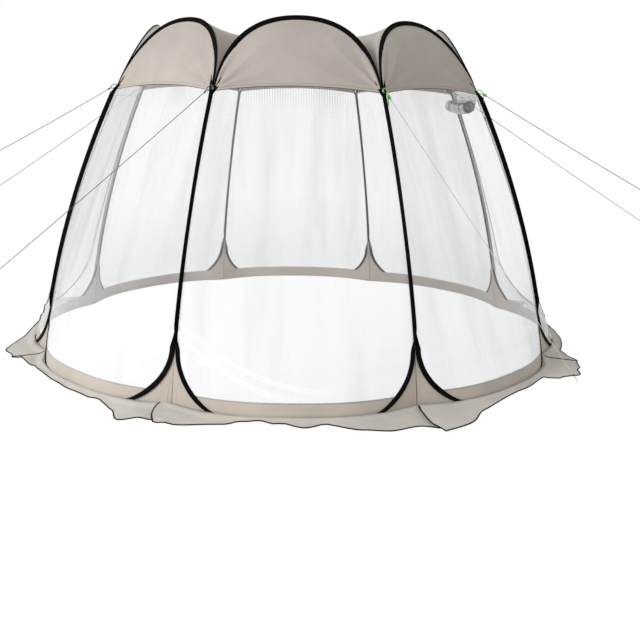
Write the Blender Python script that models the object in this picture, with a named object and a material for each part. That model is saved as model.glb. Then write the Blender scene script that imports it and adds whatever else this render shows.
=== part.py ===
"""Eight-sided pop-up shelter: spring hoops in fabric sleeves, clear walls, fabric crowns, one roof,
a mud wall with skirt flaps, two zipped doorways and six guy ropes. Metres, +Z up, origin on the
ground at the middle."""

from math import ceil, cos, pi, radians, sin, tan

import bmesh
import bpy
from mathutils import Matrix, Vector
from mathutils.geometry import interpolate_bezier

# Overall form: the knots are where neighbouring hoops part, the apexes are the tops of their arches
FLOOR_RADIUS = 1.83
KNOT_HEIGHT = 1.764
KNOT_SETBACK = 0.565
SEAM_LEAN = 0.139
ARCH_RISE = 0.401
ARCH_SETBACK = 0.1987
ROOF_DIP = 0.015
ROOF_FULLNESS = 2.3
ROOF_RINGS = (0.0, 0.13, 0.42)
KNOT_RADIUS = FLOOR_RADIUS - KNOT_SETBACK
APEX_HEIGHT = KNOT_HEIGHT + ARCH_RISE
ROOF_CENTRE_HEIGHT = APEX_HEIGHT - ROOF_DIP

# Hoop outline, seen square to a panel
TIP_HEIGHT = 0.34
FOOT_HALF = 0.40
ARCH_RISE_HANDLE = 0.26
ARCH_TOP_HANDLE = 0.27
ROUND_BEND = 0.5523

# The wall between two seams stands out beyond the straight line between them, most at its foot
FOOT_BOW = 0.215
BOW_FADE = 2.2
BOW_SHARPNESS = 2.5
SLOPE_STEP = 0.001

# Spring rod and its folded sleeve
ROD_RADIUS = 0.0025
ROD_SIDES = 5
TAPE = 0.0010
POCKET_SLACK = 0.0004
POCKET = ROD_RADIUS + POCKET_SLACK + TAPE
MOUTH_SLACK = 0.0005
SLEEVE_TAIL_FREE = 0.022
SLEEVE_TAIL_SEAM = 0.006
SLEEVE_SPREAD = 0.03

# Sheets
FILM = 0.0010
CLOTH = 0.0010
GAP = 0.0004
HEM_DROP = 0.020
HEM_RISE = 0.034
HEM_GAP = 0.0012
CROWN_BULGE = 0.016
CROWN_CREASE = 0.004
CROWN_ROWS = 3
HEM_STEPS = 4
LEAF_COLUMNS = 4
FIELD_COLUMNS = 6
FIELD_ROWS = 4
FIELD_FOOT = 0.13
FIELD_FOOT_HALF = 0.42
FIELD_INSET = 0.13
FIELD_TURN = 0.40
FIELD_BELOW_KNOT = 0.10

# Mud wall and skirt flaps
STRIP_HEIGHT = 0.105
STRIP_MIDDLE = 0.45
PEAK_ABOVE_TIP = 0.03
RIDGE_SETBACK = 0.002
SKIRT_WIDTH = 0.320
SKIRT_TOP = 0.020
SKIRT_LANDING = 0.20
SKIRT_FLAT_END = 0.55
SKIRT_LEAST = 0.090
SKIRT_SEAT = 0.0015
SKIRT_WAVE = 0.034
SKIRT_SCALLOP = 0.080
SKIRT_WAVES = 2.0
SKIRT_FIRST_SHIFT = 0.49
SKIRT_SHIFT = 0.21
SKIRT_TUCK = 0.045
MITRE_GAP = 0.003

# Doorways
DOOR_INSET = 0.105
DOOR_SILL = 0.175
DOOR_SILL_HALF = 0.20
DOOR_TURN = 0.50
HEAD_BELOW_KNOT = 0.064
DOOR_HEAD = KNOT_HEIGHT - HEAD_BELOW_KNOT
ZIP_HALF_WIDTH = 0.0075
ZIP_HALF_DEPTH = 0.0015
ZIP_TEETH_HALF = 0.0034
ZIP_UNDER_HEAD = 0.003
ROLL_RADIUS = 0.045
ROLL_CORE = 0.008
ROLL_END_MARGIN = 0.03
ROLL_SIDES = 6
SLIDER_LENGTH = 0.030
SLIDER_WIDTH = 0.013
SLIDER_DEPTH = 0.003
SLIDER_SHOULDER = 0.006
SLIDER_TAPER = 0.3
BRIDGE_FOOT = 0.0038
BRIDGE_SHOULDER = 0.0023
BRIDGE_NOSE = 0.0057
BRIDGE_RISE = 0.0006
BRIDGE_DEPTH = 0.0018
PULL_LENGTH = 0.038
PULL_WIDTH = 0.008
PULL_RISE = 0.0006
PULL_DEPTH = 0.0018
SLIDER_CLEARANCE = 0.0005
SLIDE_MARGIN = 0.12
SLIDE_LOW = DOOR_TURN + SLIDE_MARGIN
SLIDE_HIGH = DOOR_HEAD - SLIDE_MARGIN

# Guy ropes
ROPE_DIAMETER = 0.004
LOOP_LENGTH = 0.045
LOOP_WIDTH = 0.024
LOOP_THICK = 0.004
LOOP_BAND = 0.005
LOOP_SIDES = 8
EYE_LENGTH = 0.050
EYE_HALF_WIDTH = 0.015
EYE_FULLEST = 0.65
EYE_POINTS = 9
ROPE_STEP = 0.20
ROPE_SAG = 0.004

PANELS = 8
HALF_ANGLE = pi / PANELS
FOOT_STEPS = 2
CORNER_STEPS = 5
SIDE_STEPS = 4
ARCH_STEPS = 5
DOOR_SIDE_STEPS = 7

PANEL_NAMES = ("front", "front_right", "right", "back_right", "back", "back_left", "left", "front_left")
FIRST_AZIMUTH = -pi / 2
DOOR_PANELS = ("right", "left")

# Each rope leaves the knot at this corner, counted from the front right one. Its eye ends this far from the
# knot along X and Y, and at this height over the ground.
ROPES = {
    "front_right": (0, (1.291, -0.046, 0.003)),
    "right_front": (1, (1.073, -0.445, 1.128)),
    "right_back": (2, (2.080, 0.862, 0.572)),
    "left_back": (5, (-1.483, 0.615, 0.847)),
    "left_front": (6, (-0.770, -0.319, 1.308)),
    "front_left": (7, (-1.386, -0.003, 0.607)),
}

COLOURS = {
    "steel": ((0.42, 0.43, 0.45), 0.35, 1.0),
    "sleeve": ((0.012, 0.012, 0.013), 0.75, 0.0),
    "clear_film": ((0.86, 0.88, 0.89), 0.12, 0.0),
    "canopy": ((0.50, 0.45, 0.40), 0.80, 0.0),
    "skirt": ((0.56, 0.52, 0.47), 0.80, 0.0),
    "zip": ((0.05, 0.05, 0.055), 0.55, 0.0),
    "metal": ((0.30, 0.30, 0.31), 0.35, 1.0),
    "rope": ((0.40, 0.40, 0.40), 0.70, 0.0),
    "loop": ((0.02, 0.02, 0.02), 0.65, 0.0),
}


def material(name):
    """The Principled material of one finish, made on first use."""
    found = bpy.data.materials.get(name)
    if found:
        return found
    colour, roughness, metallic = COLOURS[name]
    made = bpy.data.materials.new(name)
    made.use_nodes = True
    shader = made.node_tree.nodes["Principled BSDF"]
    shader.inputs["Base Color"].default_value = (*colour, 1.0)
    shader.inputs["Roughness"].default_value = roughness
    shader.inputs["Metallic"].default_value = metallic
    made.diffuse_color = (*colour, 1.0)
    return made


def seam_bow():
    return (FLOOR_RADIUS - SEAM_LEAN * KNOT_HEIGHT - KNOT_RADIUS) / KNOT_HEIGHT**2


def seam_radius(z):
    """Distance from the middle to the line where two panels meet."""
    return FLOOR_RADIUS - SEAM_LEAN * z - seam_bow() * z * z


def seam_slope(z):
    return -SEAM_LEAN - 2 * seam_bow() * z


def arch_lean():
    return -seam_slope(KNOT_HEIGHT) * cos(HALF_ANGLE)


def arch_bow():
    return (ARCH_SETBACK - arch_lean() * ARCH_RISE) / ARCH_RISE**2


def wall_distance(z):
    """Distance from the middle to a panel's wall, and up into its arch."""
    if z <= KNOT_HEIGHT:
        return seam_radius(z) * cos(HALF_ANGLE)
    rise = z - KNOT_HEIGHT
    return KNOT_RADIUS * cos(HALF_ANGLE) - arch_lean() * rise - arch_bow() * rise * rise


def wall_bow(z):
    """How far the middle of a wall stands out beyond the straight line between its seams."""
    return FOOT_BOW * max(0.0, 1 - z / KNOT_HEIGHT) ** BOW_FADE


def wall_reach(u, z):
    """Distance of the wall's surface along X, on the panel that faces +X."""
    share = abs(u) / (seam_half(z) - hoop_inset())
    return wall_distance(z) + wall_bow(z) * (1 - share**BOW_SHARPNESS)


def wall_rise(u, z):
    return (wall_reach(u, z + SLOPE_STEP) - wall_reach(u, z - SLOPE_STEP)) / (2 * SLOPE_STEP)


def wall_normal(u, z):
    across = (wall_reach(u + SLOPE_STEP, z) - wall_reach(u - SLOPE_STEP, z)) / (2 * SLOPE_STEP)
    return Vector((1, -across, -wall_rise(u, z))).normalized()


def level_normal(u, z):
    """The wall's outward direction without its turn to the side, which the zip and its slider keep to."""
    return Vector((1, 0, -wall_rise(u, z))).normalized()


def on_wall(u, z, lift=0.0):
    """A point on the panel that faces +X: u across, z up, lift outward from its surface."""
    point = Vector((wall_reach(u, z), u, z))
    return point + wall_normal(u, z) * lift if lift else point


def seam_half(z):
    return seam_radius(z) * sin(HALF_ANGLE)


def sleeve_section(tail):
    """Folded tape round the rod, open towards the panel: x into the panel, y outward."""
    lip = FILM / 2 + MOUTH_SLACK
    room = POCKET - TAPE
    half = [
        (-POCKET, POCKET - TAPE),
        (POCKET - TAPE, POCKET),
        (tail, lip + TAPE),
        (tail, lip),
        (ROD_RADIUS + MOUTH_SLACK, room),
        (-room, room - TAPE / 2),
    ]
    return half + [(x, -y) for x, y in reversed(half)]


def seam_offset():
    """How far a hoop's centre line keeps from the plane of its seam, so that two sleeves lie side by side."""
    reach = max(-x * cos(HALF_ANGLE) + abs(y) * sin(HALF_ANGLE) for x, y in sleeve_section(SLEEVE_TAIL_SEAM))
    return reach + GAP / 2


def foot_height():
    """Height of the hoop's centre line where its sleeve stands on the ground."""
    normal = wall_normal(0, 0)
    return max(-x * normal.x + abs(y) * normal.z for x, y in sleeve_section(0))


def side_path(inset, foot, foot_half, turn, top, steps):
    """Right half of an outline on a panel: foot, lower corner and side, as (u, z) points."""
    end = Vector((seam_half(turn) - inset, turn))
    start = Vector((foot_half, foot))
    along = Vector((seam_slope(turn) * sin(HALF_ANGLE), 1)).normalized()
    first = start + Vector((ROUND_BEND * (end.x - start.x), 0))
    second = end - along * ROUND_BEND * (turn - foot)
    corner = interpolate_bezier(start, first, second, end, CORNER_STEPS + 1)
    points = [(point.x, point.y) for point in corner]
    for step in range(1, steps + 1):
        z = turn + (top - turn) * step / steps
        points.append((seam_half(z) - inset, z))
    return points


def hoop_inset():
    return seam_offset() / cos(HALF_ANGLE)


def arch_path():
    """Right half of the free arch, from just above the knot to the apex, as (u, z) points."""
    start = Vector((seam_half(KNOT_HEIGHT) - hoop_inset(), KNOT_HEIGHT))
    end = Vector((0, APEX_HEIGHT))
    along = Vector((seam_slope(KNOT_HEIGHT) * sin(HALF_ANGLE), 1)).normalized()
    first = start + along * ARCH_RISE_HANDLE
    second = end + Vector((ARCH_TOP_HANDLE, 0))
    points = interpolate_bezier(start, first, second, end, ARCH_STEPS + 1)
    return [(point.x, point.y) for point in points[1:]]


def hoop_side():
    """Right half of the hoop from its foot up to the knot, as (u, z) points."""
    return side_path(hoop_inset(), foot_height(), FOOT_HALF, TIP_HEIGHT, KNOT_HEIGHT, SIDE_STEPS)


def hoop_path():
    """The whole hoop as (u, z) points, counter-clockwise from the right end of its foot."""
    right = hoop_side() + arch_path()
    foot = [(FOOT_HALF * k / FOOT_STEPS, foot_height()) for k in range(1 - FOOT_STEPS, FOOT_STEPS)]
    return right + [(-u, z) for u, z in reversed(right[:-1])] + foot


def hoop_frames():
    """(centre, into the panel, outward, sleeve tail) at each point of the hoop."""
    path = hoop_path()
    centres = [on_wall(u, z) for u, z in path]
    frames = []
    for index, (u, z) in enumerate(path):
        centre = centres[index]
        before = (centre - centres[index - 1]).normalized()
        after = (centres[(index + 1) % len(path)] - centre).normalized()
        normal = wall_normal(u, z)
        inward = normal.cross(before + after).normalized()
        free = (centre.x * tan(HALF_ANGLE) - abs(u)) * cos(HALF_ANGLE) - seam_offset()
        spread = min(1.0, max(0.0, free / SLEEVE_SPREAD))
        tail = SLEEVE_TAIL_SEAM + (SLEEVE_TAIL_FREE - SLEEVE_TAIL_SEAM) * spread
        frames.append((centre, inward, normal, tail))
    return frames


def inner_edge(path, offset):
    """The outline moved into the panel by offset, as (u, z) points."""
    moved = []
    for index, (u, z) in enumerate(path):
        point = Vector((u, z))
        before = point - Vector(path[index - 1])
        after = Vector(path[(index + 1) % len(path)]) - point
        along = (before.normalized() + after.normalized()).normalized()
        moved.append((u - along.y * offset, z + along.x * offset))
    return moved


def next_ring(mesh, ring, places):
    """Extrudes a closed ring of vertices and puts the copy at the given places, in the same order."""
    edges = [mesh.edges.get((ring[index - 1], ring[index])) for index in range(len(ring))]
    made = bmesh.ops.extrude_edge_only(mesh, edges=edges)["geom"]
    new = {item for item in made if isinstance(item, bmesh.types.BMVert)}
    follow = []
    for vert in ring:
        follow.append(next(edge.other_vert(vert) for edge in vert.link_edges if edge.other_vert(vert) in new))
    for vert, place in zip(follow, places):
        vert.co = place
    return follow


def first_ring(mesh, places):
    ring = [mesh.verts.new(place) for place in places]
    for index in range(len(ring)):
        mesh.edges.new((ring[index - 1], ring[index]))
    return ring


def lofted(name, rings, closed=False, caps=False, centre=None):
    """A mesh through rings of points: closed into a loop, capped at both ends, or drawn in to a centre."""
    mesh = bmesh.new()
    first = first_ring(mesh, rings[0])
    last = first
    for places in rings[1:]:
        last = next_ring(mesh, last, places)
    if closed:
        again = next_ring(mesh, last, rings[0])
        bmesh.ops.weld_verts(mesh, targetmap=dict(zip(again, first)))
    if caps:
        bmesh.ops.holes_fill(mesh, edges=[edge for edge in mesh.edges if edge.is_boundary], sides=0)
    if centre is not None:
        tip = next_ring(mesh, last, [centre] * len(last))
        bmesh.ops.pointmerge(mesh, verts=tip, merge_co=centre)
    bmesh.ops.recalc_face_normals(mesh, faces=mesh.faces[:])
    return finish_mesh(name, mesh)


def grid(name, columns, rows, place):
    """A sheet of columns by rows faces, whose vertices stand at place(column, row)."""
    mesh = bmesh.new()
    bmesh.ops.create_grid(mesh, x_segments=columns, y_segments=rows, size=1.0)
    for vert in mesh.verts:
        column = round((vert.co.x + 1) / 2 * columns)
        row = round((vert.co.y + 1) / 2 * rows)
        vert.co = place(column, row)
    return finish_mesh(name, mesh)


def finish_mesh(name, mesh):
    data = bpy.data.meshes.new(name)
    mesh.to_mesh(data)
    mesh.free()
    data.shade_smooth()
    data.set_sharp_from_angle(angle=radians(35))
    return data


def new_object(name, data, finish, turn=0.0, place=(0, 0, 0)):
    obj = bpy.data.objects.new(name, data)
    bpy.context.scene.collection.objects.link(obj)
    if not data.materials:
        data.materials.append(material(finish))
    obj.rotation_euler.z = turn
    obj.location = place
    return obj


def thicken(obj, thickness):
    shell = obj.modifiers.new("thickness", "SOLIDIFY")
    shell.thickness = thickness
    shell.offset = 0.0
    shell.use_even_offset = True


def panel_turn(index):
    return FIRST_AZIMUTH + index * 2 * HALF_ANGLE


def rod_mesh():
    angles = [2 * pi * k / ROD_SIDES for k in range(ROD_SIDES)]
    circle = [(ROD_RADIUS * cos(angle), ROD_RADIUS * sin(angle)) for angle in angles]
    rings = [[c + n * x + m * y for x, y in circle] for c, n, m, _ in hoop_frames()]
    return lofted("spring_rod", rings, closed=True)


def sleeve_mesh():
    rings = [[c + n * x + m * y for x, y in sleeve_section(tail)] for c, n, m, tail in hoop_frames()]
    return lofted("hoop_sleeve", rings, closed=True)


def hem_height(u):
    """The crown's lower edge, gently arched between the seams."""
    half = seam_half(KNOT_HEIGHT)
    return KNOT_HEIGHT - HEM_DROP + HEM_RISE * (1 - (u / half) ** 2)


def sheet_edge():
    """The hoop's outline moved to where a sheet's edge lies in the sleeve's mouth."""
    return inner_edge(hoop_path(), ROD_RADIUS + MOUTH_SLACK)


def hem_end():
    """Half width of the panel at the ends of the hem."""
    edge = sheet_edge()
    knot = CORNER_STEPS + SIDE_STEPS
    below, above = edge[knot - 1], edge[knot]
    z = KNOT_HEIGHT - HEM_DROP
    share = (z - below[1]) / (above[1] - below[1])
    return below[0] + (above[0] - below[0]) * share


def hem_point(u, z, lift=0.0):
    """A point at the hem, which keeps to the straight stretch of sleeve just below the knots."""
    low = sheet_edge()[CORNER_STEPS + SIDE_STEPS - 1][1]
    share = min(1.0, (z - low) / (KNOT_HEIGHT - low))
    chord = wall_distance(low) + (wall_distance(KNOT_HEIGHT) - wall_distance(low)) * share
    return on_wall(u, z, lift) + Vector((chord - wall_distance(min(z, KNOT_HEIGHT)), 0, 0))


def crown_mesh():
    """Fabric in the arch: columns run from the hem up to the arch, flat inside the sleeve's tail."""
    path = hoop_path()
    tails = [tail + 2 * GAP for _, _, _, tail in hoop_frames()]
    knot = CORNER_STEPS + SIDE_STEPS
    last = 2 * ARCH_STEPS
    edge = sheet_edge()[knot : knot + last + 1]
    line = [inner_edge(path, tails[knot + k])[knot + k] for k in range(last + 1)]
    end = hem_end()

    def place(column, row):
        across = 1 - 2 * column / last
        low_u = end * sin(across * pi / 2)
        if column in (0, last):
            share = row / CROWN_ROWS
            z = KNOT_HEIGHT - HEM_DROP * (1 - share)
            return hem_point(low_u + (edge[column][0] - low_u) * share, z)
        if row == 0:
            return hem_point(low_u, hem_height(low_u))
        if row == CROWN_ROWS:
            return on_wall(*edge[column])
        share = row / (CROWN_ROWS - 1)
        u = low_u + (line[column][0] - low_u) * share
        z = hem_height(low_u) + (line[column][1] - hem_height(low_u)) * share
        full = sin(pi * share) * cos(across * pi / 2) ** 2
        fold = CROWN_CREASE * (-1) ** column
        return on_wall(u, z, (CROWN_BULGE + fold) * full)

    return grid("crown", last, CROWN_ROWS, place)


def film_rings():
    """A clear wall's edge in the sleeve's mouth and under the hem, and a ring just past the sleeve's tail."""
    knot = CORNER_STEPS + SIDE_STEPS
    frames = hoop_frames()
    depth = SLEEVE_TAIL_SEAM + 2 * GAP - ROD_RADIUS - MOUTH_SLACK
    end = hem_end()
    edge, clear = [], []

    def follow(side):
        for centre, inward, _, tail in side:
            edge.append(centre + inward * (ROD_RADIUS + MOUTH_SLACK))
            clear.append(centre + inward * (tail + 2 * GAP))

    follow(frames[:knot])
    for k in range(HEM_STEPS + 1):
        u = end * (1 - 2 * k / HEM_STEPS)
        z = hem_height(u) - HEM_GAP
        edge.append(hem_point(u, z))
        clear.append(hem_point(u * (1 - depth / end), z - depth))
    follow(frames[1 - 2 * FOOT_STEPS - knot :])
    return edge, clear


def film_to(rim):
    """Film from the hoop and hem, flat inside the sleeve's tail, to a closed rim of points on the wall."""
    edge, clear = film_rings()
    mesh = bmesh.new()
    tail_ring = next_ring(mesh, first_ring(mesh, edge), clear)
    rim_ring = first_ring(mesh, rim)
    loops = []
    for ring in (tail_ring, rim_ring):
        loops += [mesh.edges.get((ring[k - 1], ring[k])) for k in range(len(ring))]
    bmesh.ops.bridge_loops(mesh, edges=loops)
    return mesh


def field_half(z):
    """Half width of the field of even rows in a clear wall, which draws in towards the foot."""
    half = seam_half(z) - FIELD_INSET
    low = max(0.0, (FIELD_TURN - z) / (FIELD_TURN - FIELD_FOOT))
    return half - (half - FIELD_FOOT_HALF) * low**2


def clear_wall_mesh():
    """A whole clear wall: it fills its hoop from the foot up to the crown's hem."""
    top = KNOT_HEIGHT - FIELD_BELOW_KNOT
    heights = [FIELD_FOOT + (top - FIELD_FOOT) * row / FIELD_ROWS for row in range(FIELD_ROWS + 1)]

    def place(column, row):
        z = heights[row]
        return on_wall(field_half(z) * (2 * column / FIELD_COLUMNS - 1), z)

    rim = [place(FIELD_COLUMNS, row) for row in range(FIELD_ROWS + 1)]
    rim += [place(column, FIELD_ROWS) for column in range(FIELD_COLUMNS - 1, 0, -1)]
    rim += [place(0, row) for row in range(FIELD_ROWS, -1, -1)]
    rim += [place(column, 0) for column in range(1, FIELD_COLUMNS)]
    mesh = film_to(rim)
    mesh.from_mesh(grid("wall_field", FIELD_COLUMNS, FIELD_ROWS, place))
    bmesh.ops.remove_doubles(mesh, verts=mesh.verts[:], dist=GAP / 4)
    bmesh.ops.recalc_face_normals(mesh, faces=mesh.faces[:])
    return finish_mesh("clear_wall", mesh)


def zip_path():
    """Right half of the doorway's zip, as (u, z) points from the sill's end to the head."""
    top = DOOR_HEAD - ZIP_UNDER_HEAD
    return side_path(DOOR_INSET, DOOR_SILL, DOOR_SILL_HALF, DOOR_TURN, top, DOOR_SIDE_STEPS)


def zip_offset(sign, distance):
    """The zip's whole line, right head to left head, moved away from the doorway (+) or into it (-)."""
    right = zip_path()
    line = [(u, z) for u, z in reversed(right)] + [(0.0, DOOR_SILL)] + [(-u, z) for u, z in right]
    moved = []
    for index, (u, z) in enumerate(line):
        before = Vector(line[max(0, index - 1)])
        after = Vector(line[min(len(line) - 1, index + 1)])
        along = (after - before).normalized()
        moved.append((u - along.y * sign * distance, z + along.x * sign * distance))
    return moved


def carried_to(before, last, z):
    """The point at height z on the line through two points."""
    share = (z - last[1]) / (last[1] - before[1])
    return (last[0] + (last[0] - before[0]) * share, z)


def door_wall_mesh():
    """A clear wall with a doorway: film from the hoop and hem, flat inside the sleeve's tail, to the zip."""
    head = DOOR_HEAD + FILM / 2 + GAP
    inner = zip_offset(1, ZIP_HALF_WIDTH + GAP)
    inner = [carried_to(inner[1], inner[0], head)] + inner[1:-1] + [carried_to(inner[-2], inner[-1], head)]
    mesh = film_to([on_wall(u, z) for u, z in inner])
    bmesh.ops.recalc_face_normals(mesh, faces=mesh.faces[:])
    return finish_mesh("door_wall", mesh)


def swept_on_wall(name, line, section):
    """A bar of the given section along a line of (u, z) points on the wall, with closed ends."""
    centres = [on_wall(u, z) for u, z in line]
    rings = []
    for index, (u, z) in enumerate(line):
        along = centres[min(len(line) - 1, index + 1)] - centres[max(0, index - 1)]
        inward = level_normal(u, z).cross(along).normalized()
        outward = along.cross(inward).normalized()
        rings.append([centres[index] + inward * x + outward * y for x, y in section])
    return lofted(name, rings, caps=True)


def zip_mesh():
    """Zip with its raised row of teeth, from one side of the head round the sill to the other."""
    outer = [(-ZIP_HALF_WIDTH, 0), (-ZIP_TEETH_HALF, ZIP_HALF_DEPTH), (ZIP_TEETH_HALF, ZIP_HALF_DEPTH)]
    section = outer + [(-x, -y) for x, y in outer]
    return swept_on_wall("zip", zip_offset(1, 0.0), section)


def door_leaf_mesh(pivot):
    """The closed door: film between the two sides of the zip, from the sill up to its hinge line."""
    side = DOOR_SIDE_STEPS + CORNER_STEPS
    right = [(u, z) for u, z in reversed(zip_offset(-1, ZIP_HALF_WIDTH + GAP)[: side + 1])]
    right[-1] = carried_to(right[-2], right[-1], DOOR_HEAD)

    def place(column, row):
        across = 2 * column / LEAF_COLUMNS - 1
        return on_wall(right[row][0] * across, right[row][1]) - pivot

    return grid("door_leaf", LEAF_COLUMNS, len(right) - 1, place)


def roll_mesh():
    """The open door's leaf, rolled up from the sill: one film wound in a spiral that hangs from the head."""
    length = (on_wall(0, DOOR_HEAD) - on_wall(0, DOOR_SILL)).length
    pitch = pi * (ROLL_RADIUS**2 - ROLL_CORE**2) / length
    turns = (ROLL_RADIUS - ROLL_CORE) / pitch
    steps = round(turns * ROLL_SIDES)
    half = seam_half(DOOR_HEAD) - DOOR_INSET - ROLL_END_MARGIN
    head = on_wall(0, DOOR_HEAD)
    centre = head - Vector((ROLL_RADIUS, 0, ROLL_RADIUS))

    def place(column, row):
        y = half * (2 * column - 1)
        if row > steps:
            return Vector((head.x, y, head.z))
        angle = -2 * pi * (steps - row) / ROLL_SIDES
        radius = ROLL_CORE + (ROLL_RADIUS - ROLL_CORE) * row / steps
        return centre + Vector((radius * cos(angle), y, radius * sin(angle)))

    gap = pitch * cos(pi / ROLL_SIDES) - FILM
    print(f"rolled door: {turns:.1f} turns, least gap between them {gap * 1000:.1f} mm")
    return grid("rolled_leaf", 1, steps + 1, place)


def zip_side(side, z):
    """A point on the upright stretch of the zip."""
    return on_wall(side * (seam_half(z) - DOOR_INSET), z)


def slide_circle(side):
    """Middle and axis of the circle that the side of the zip follows, on the panel that faces +X."""
    low, middle, high = [zip_side(side, z) for z in (SLIDE_LOW, (SLIDE_LOW + SLIDE_HIGH) / 2, SLIDE_HIGH)]
    first, second = middle - low, high - low
    axis = first.cross(second)
    offset = second.length_squared * axis.cross(first) + first.length_squared * second.cross(axis)
    return low + offset / (2 * axis.length_squared), axis.normalized()


def plate(width, foot, shoulder, nose):
    """Outline of a plate that narrows to its nose, as (across, along) points."""
    wide, narrow = width / 2, width * SLIDER_TAPER
    return [(-wide, foot), (wide, foot), (wide, shoulder), (narrow, nose), (-narrow, nose), (-wide, shoulder)]


def slider_mesh(side, height):
    """Zip slider with its hanging pull, on the outer face of the zip, about the middle of its arc."""
    spot = zip_side(side, height)
    centre = spot - slide_circle(side)[0]
    along = (zip_side(side, height + SLOPE_STEP) - zip_side(side, height - SLOPE_STEP)).normalized()
    across = along.cross(level_normal(spot.y, height)).normalized()
    normal = across.cross(along)
    base = ZIP_HALF_DEPTH + SLIDER_CLEARANCE
    body = plate(SLIDER_WIDTH, -SLIDER_LENGTH / 2, SLIDER_SHOULDER, SLIDER_LENGTH / 2)
    bridge = plate(PULL_WIDTH, -BRIDGE_FOOT, BRIDGE_SHOULDER, BRIDGE_NOSE)
    tab = plate(PULL_WIDTH, BRIDGE_NOSE - PULL_LENGTH, BRIDGE_SHOULDER, BRIDGE_NOSE)
    levels, height = [], 0.0
    for outline, rise, depth in (
        (body, 0.0, SLIDER_DEPTH),
        (bridge, BRIDGE_RISE, BRIDGE_DEPTH),
        (tab, PULL_RISE, PULL_DEPTH),
    ):
        levels.append((outline, height + rise))
        height += rise + depth
        levels.append((outline, height))
    rings = []
    for outline, up in levels:
        rings.append([centre + across * x + along * y + normal * (base + up) for x, y in outline])
    return lofted("zip_slider", rings, caps=True)


def mud_wall_mesh():
    """One ring of cloth inside the sleeves: a low strip along each panel, rising to a peak at each corner."""
    behind = POCKET + GAP + CLOTH / 2
    right = hoop_side()[: CORNER_STEPS + 1]
    low, middle, top = [], [], []
    for index in range(PANELS):
        turn = Matrix.Rotation(panel_turn(index), 4, "Z")
        half = [(FOOT_HALF * k / FOOT_STEPS, STRIP_HEIGHT) for k in range(FOOT_STEPS)]
        for u, z in right[:-1]:
            half.append((u, max(STRIP_HEIGHT, z + SLEEVE_TAIL_FREE / 2)))
        columns = [(-u, z) for u, z in reversed(half[1:])] + half
        for u, z in columns:
            low.append(turn @ on_wall(u, CLOTH, -behind))
            middle.append(turn @ on_wall(u, z * STRIP_MIDDLE, -behind))
            top.append(turn @ on_wall(u, z, -behind))
        peak = TIP_HEIGHT + PEAK_ABOVE_TIP
        ridge = Matrix.Rotation(panel_turn(index) + HALF_ANGLE, 4, "Z")
        for places, z in ((low, CLOTH), (middle, peak * STRIP_MIDDLE), (top, peak)):
            inside = (behind + RIDGE_SETBACK) / cos(HALF_ANGLE)
            places.append(ridge @ Vector((seam_radius(z) - inside, 0, z)))
    return lofted("mud_wall", [low, middle, top])


def skirt_columns():
    """Half widths of a flap's columns at its inner edge, and how far the edge stands off the wall there."""
    sleeve = POCKET + GAP + CLOTH / 2
    gusset = CLOTH / 2 - POCKET + SKIRT_SEAT
    clear = SKIRT_TOP + POCKET + CLOTH
    right = hoop_side()
    low, high = next((a, b) for a, b in zip(right, right[1:]) if b[1] > clear)
    under = low[0] + (high[0] - low[0]) * (clear - low[1]) / (high[1] - low[1])
    columns = [(FOOT_HALF * k / FOOT_STEPS, sleeve) for k in range(FOOT_STEPS + 1)] + [(under, sleeve)]
    corner = (wall_distance(SKIRT_TOP) + gusset) * tan(HALF_ANGLE) - MITRE_GAP / 2
    tuck = under + SKIRT_TUCK
    columns += [(tuck, gusset), ((tuck + corner) / 2, gusset), (corner, gusset)]
    return [(-u, off) for u, off in reversed(columns[1:])] + columns


def skirt_mesh(phase):
    """One flap: from the foot of its panel out over the ground, flat at first, then in loose waves."""
    columns = skirt_columns()
    corner = columns[-1][0]
    steps = (0.0, SKIRT_LANDING, SKIRT_FLAT_END, 1.0)
    ground = CLOTH / 2

    def place(column, row):
        u, off = columns[column]
        inner = on_wall(u, SKIRT_TOP, off)
        if row == 0:
            return inner
        across = u / corner
        share = max(0.0, (steps[row] - SKIRT_FLAT_END) / (1 - SKIRT_FLAT_END))
        wave = 0.5 - 0.5 * cos(2 * pi * SKIRT_WAVES * (across + phase))
        outer = max(wall_distance(0) + SKIRT_WIDTH - SKIRT_SCALLOP * wave, inner.x + SKIRT_LEAST)
        reach = inner.x + (outer - inner.x) * steps[row]
        half = reach * tan(HALF_ANGLE) - MITRE_GAP / 2
        height = ground + SKIRT_WAVE * share * share * wave * cos(across * pi / 2) ** 0.5
        return Vector((reach, half * across, height))

    return grid("skirt_flap", len(columns) - 1, len(steps) - 1, place)


def roof_mesh():
    """Roof cloth sewn along the backs of all the arches: flat in the middle, a valley down to each knot."""
    behind = POCKET + GAP + CLOTH / 2
    knot = CORNER_STEPS + SIDE_STEPS
    arch = hoop_frames()[knot : knot + 2 * ARCH_STEPS + 1]
    edge = []
    for index in range(PANELS):
        turn = Matrix.Rotation(panel_turn(index), 4, "Z")
        edge += [turn @ (centre - normal * behind) for centre, _, normal, _ in reversed(arch)]
    centre = Vector((0, 0, ROOF_CENTRE_HEIGHT))
    rings = []
    for share in ROOF_RINGS:
        keep = 1 - share
        shrink = Matrix.Diagonal((keep, keep, keep**ROOF_FULLNESS))
        rings.append([centre + shrink @ (spot - centre) for spot in edge])
    return lofted("roof", rings, centre=centre)


def knot_direction(corner):
    azimuth = panel_turn(corner) + HALF_ANGLE
    return Vector((cos(azimuth), sin(azimuth), 0))


def rope_target(corner, run):
    """The far end of a rope's eye, from its run along X and Y and its height."""
    return knot_direction(corner) * KNOT_RADIUS + Vector(run)


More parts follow.
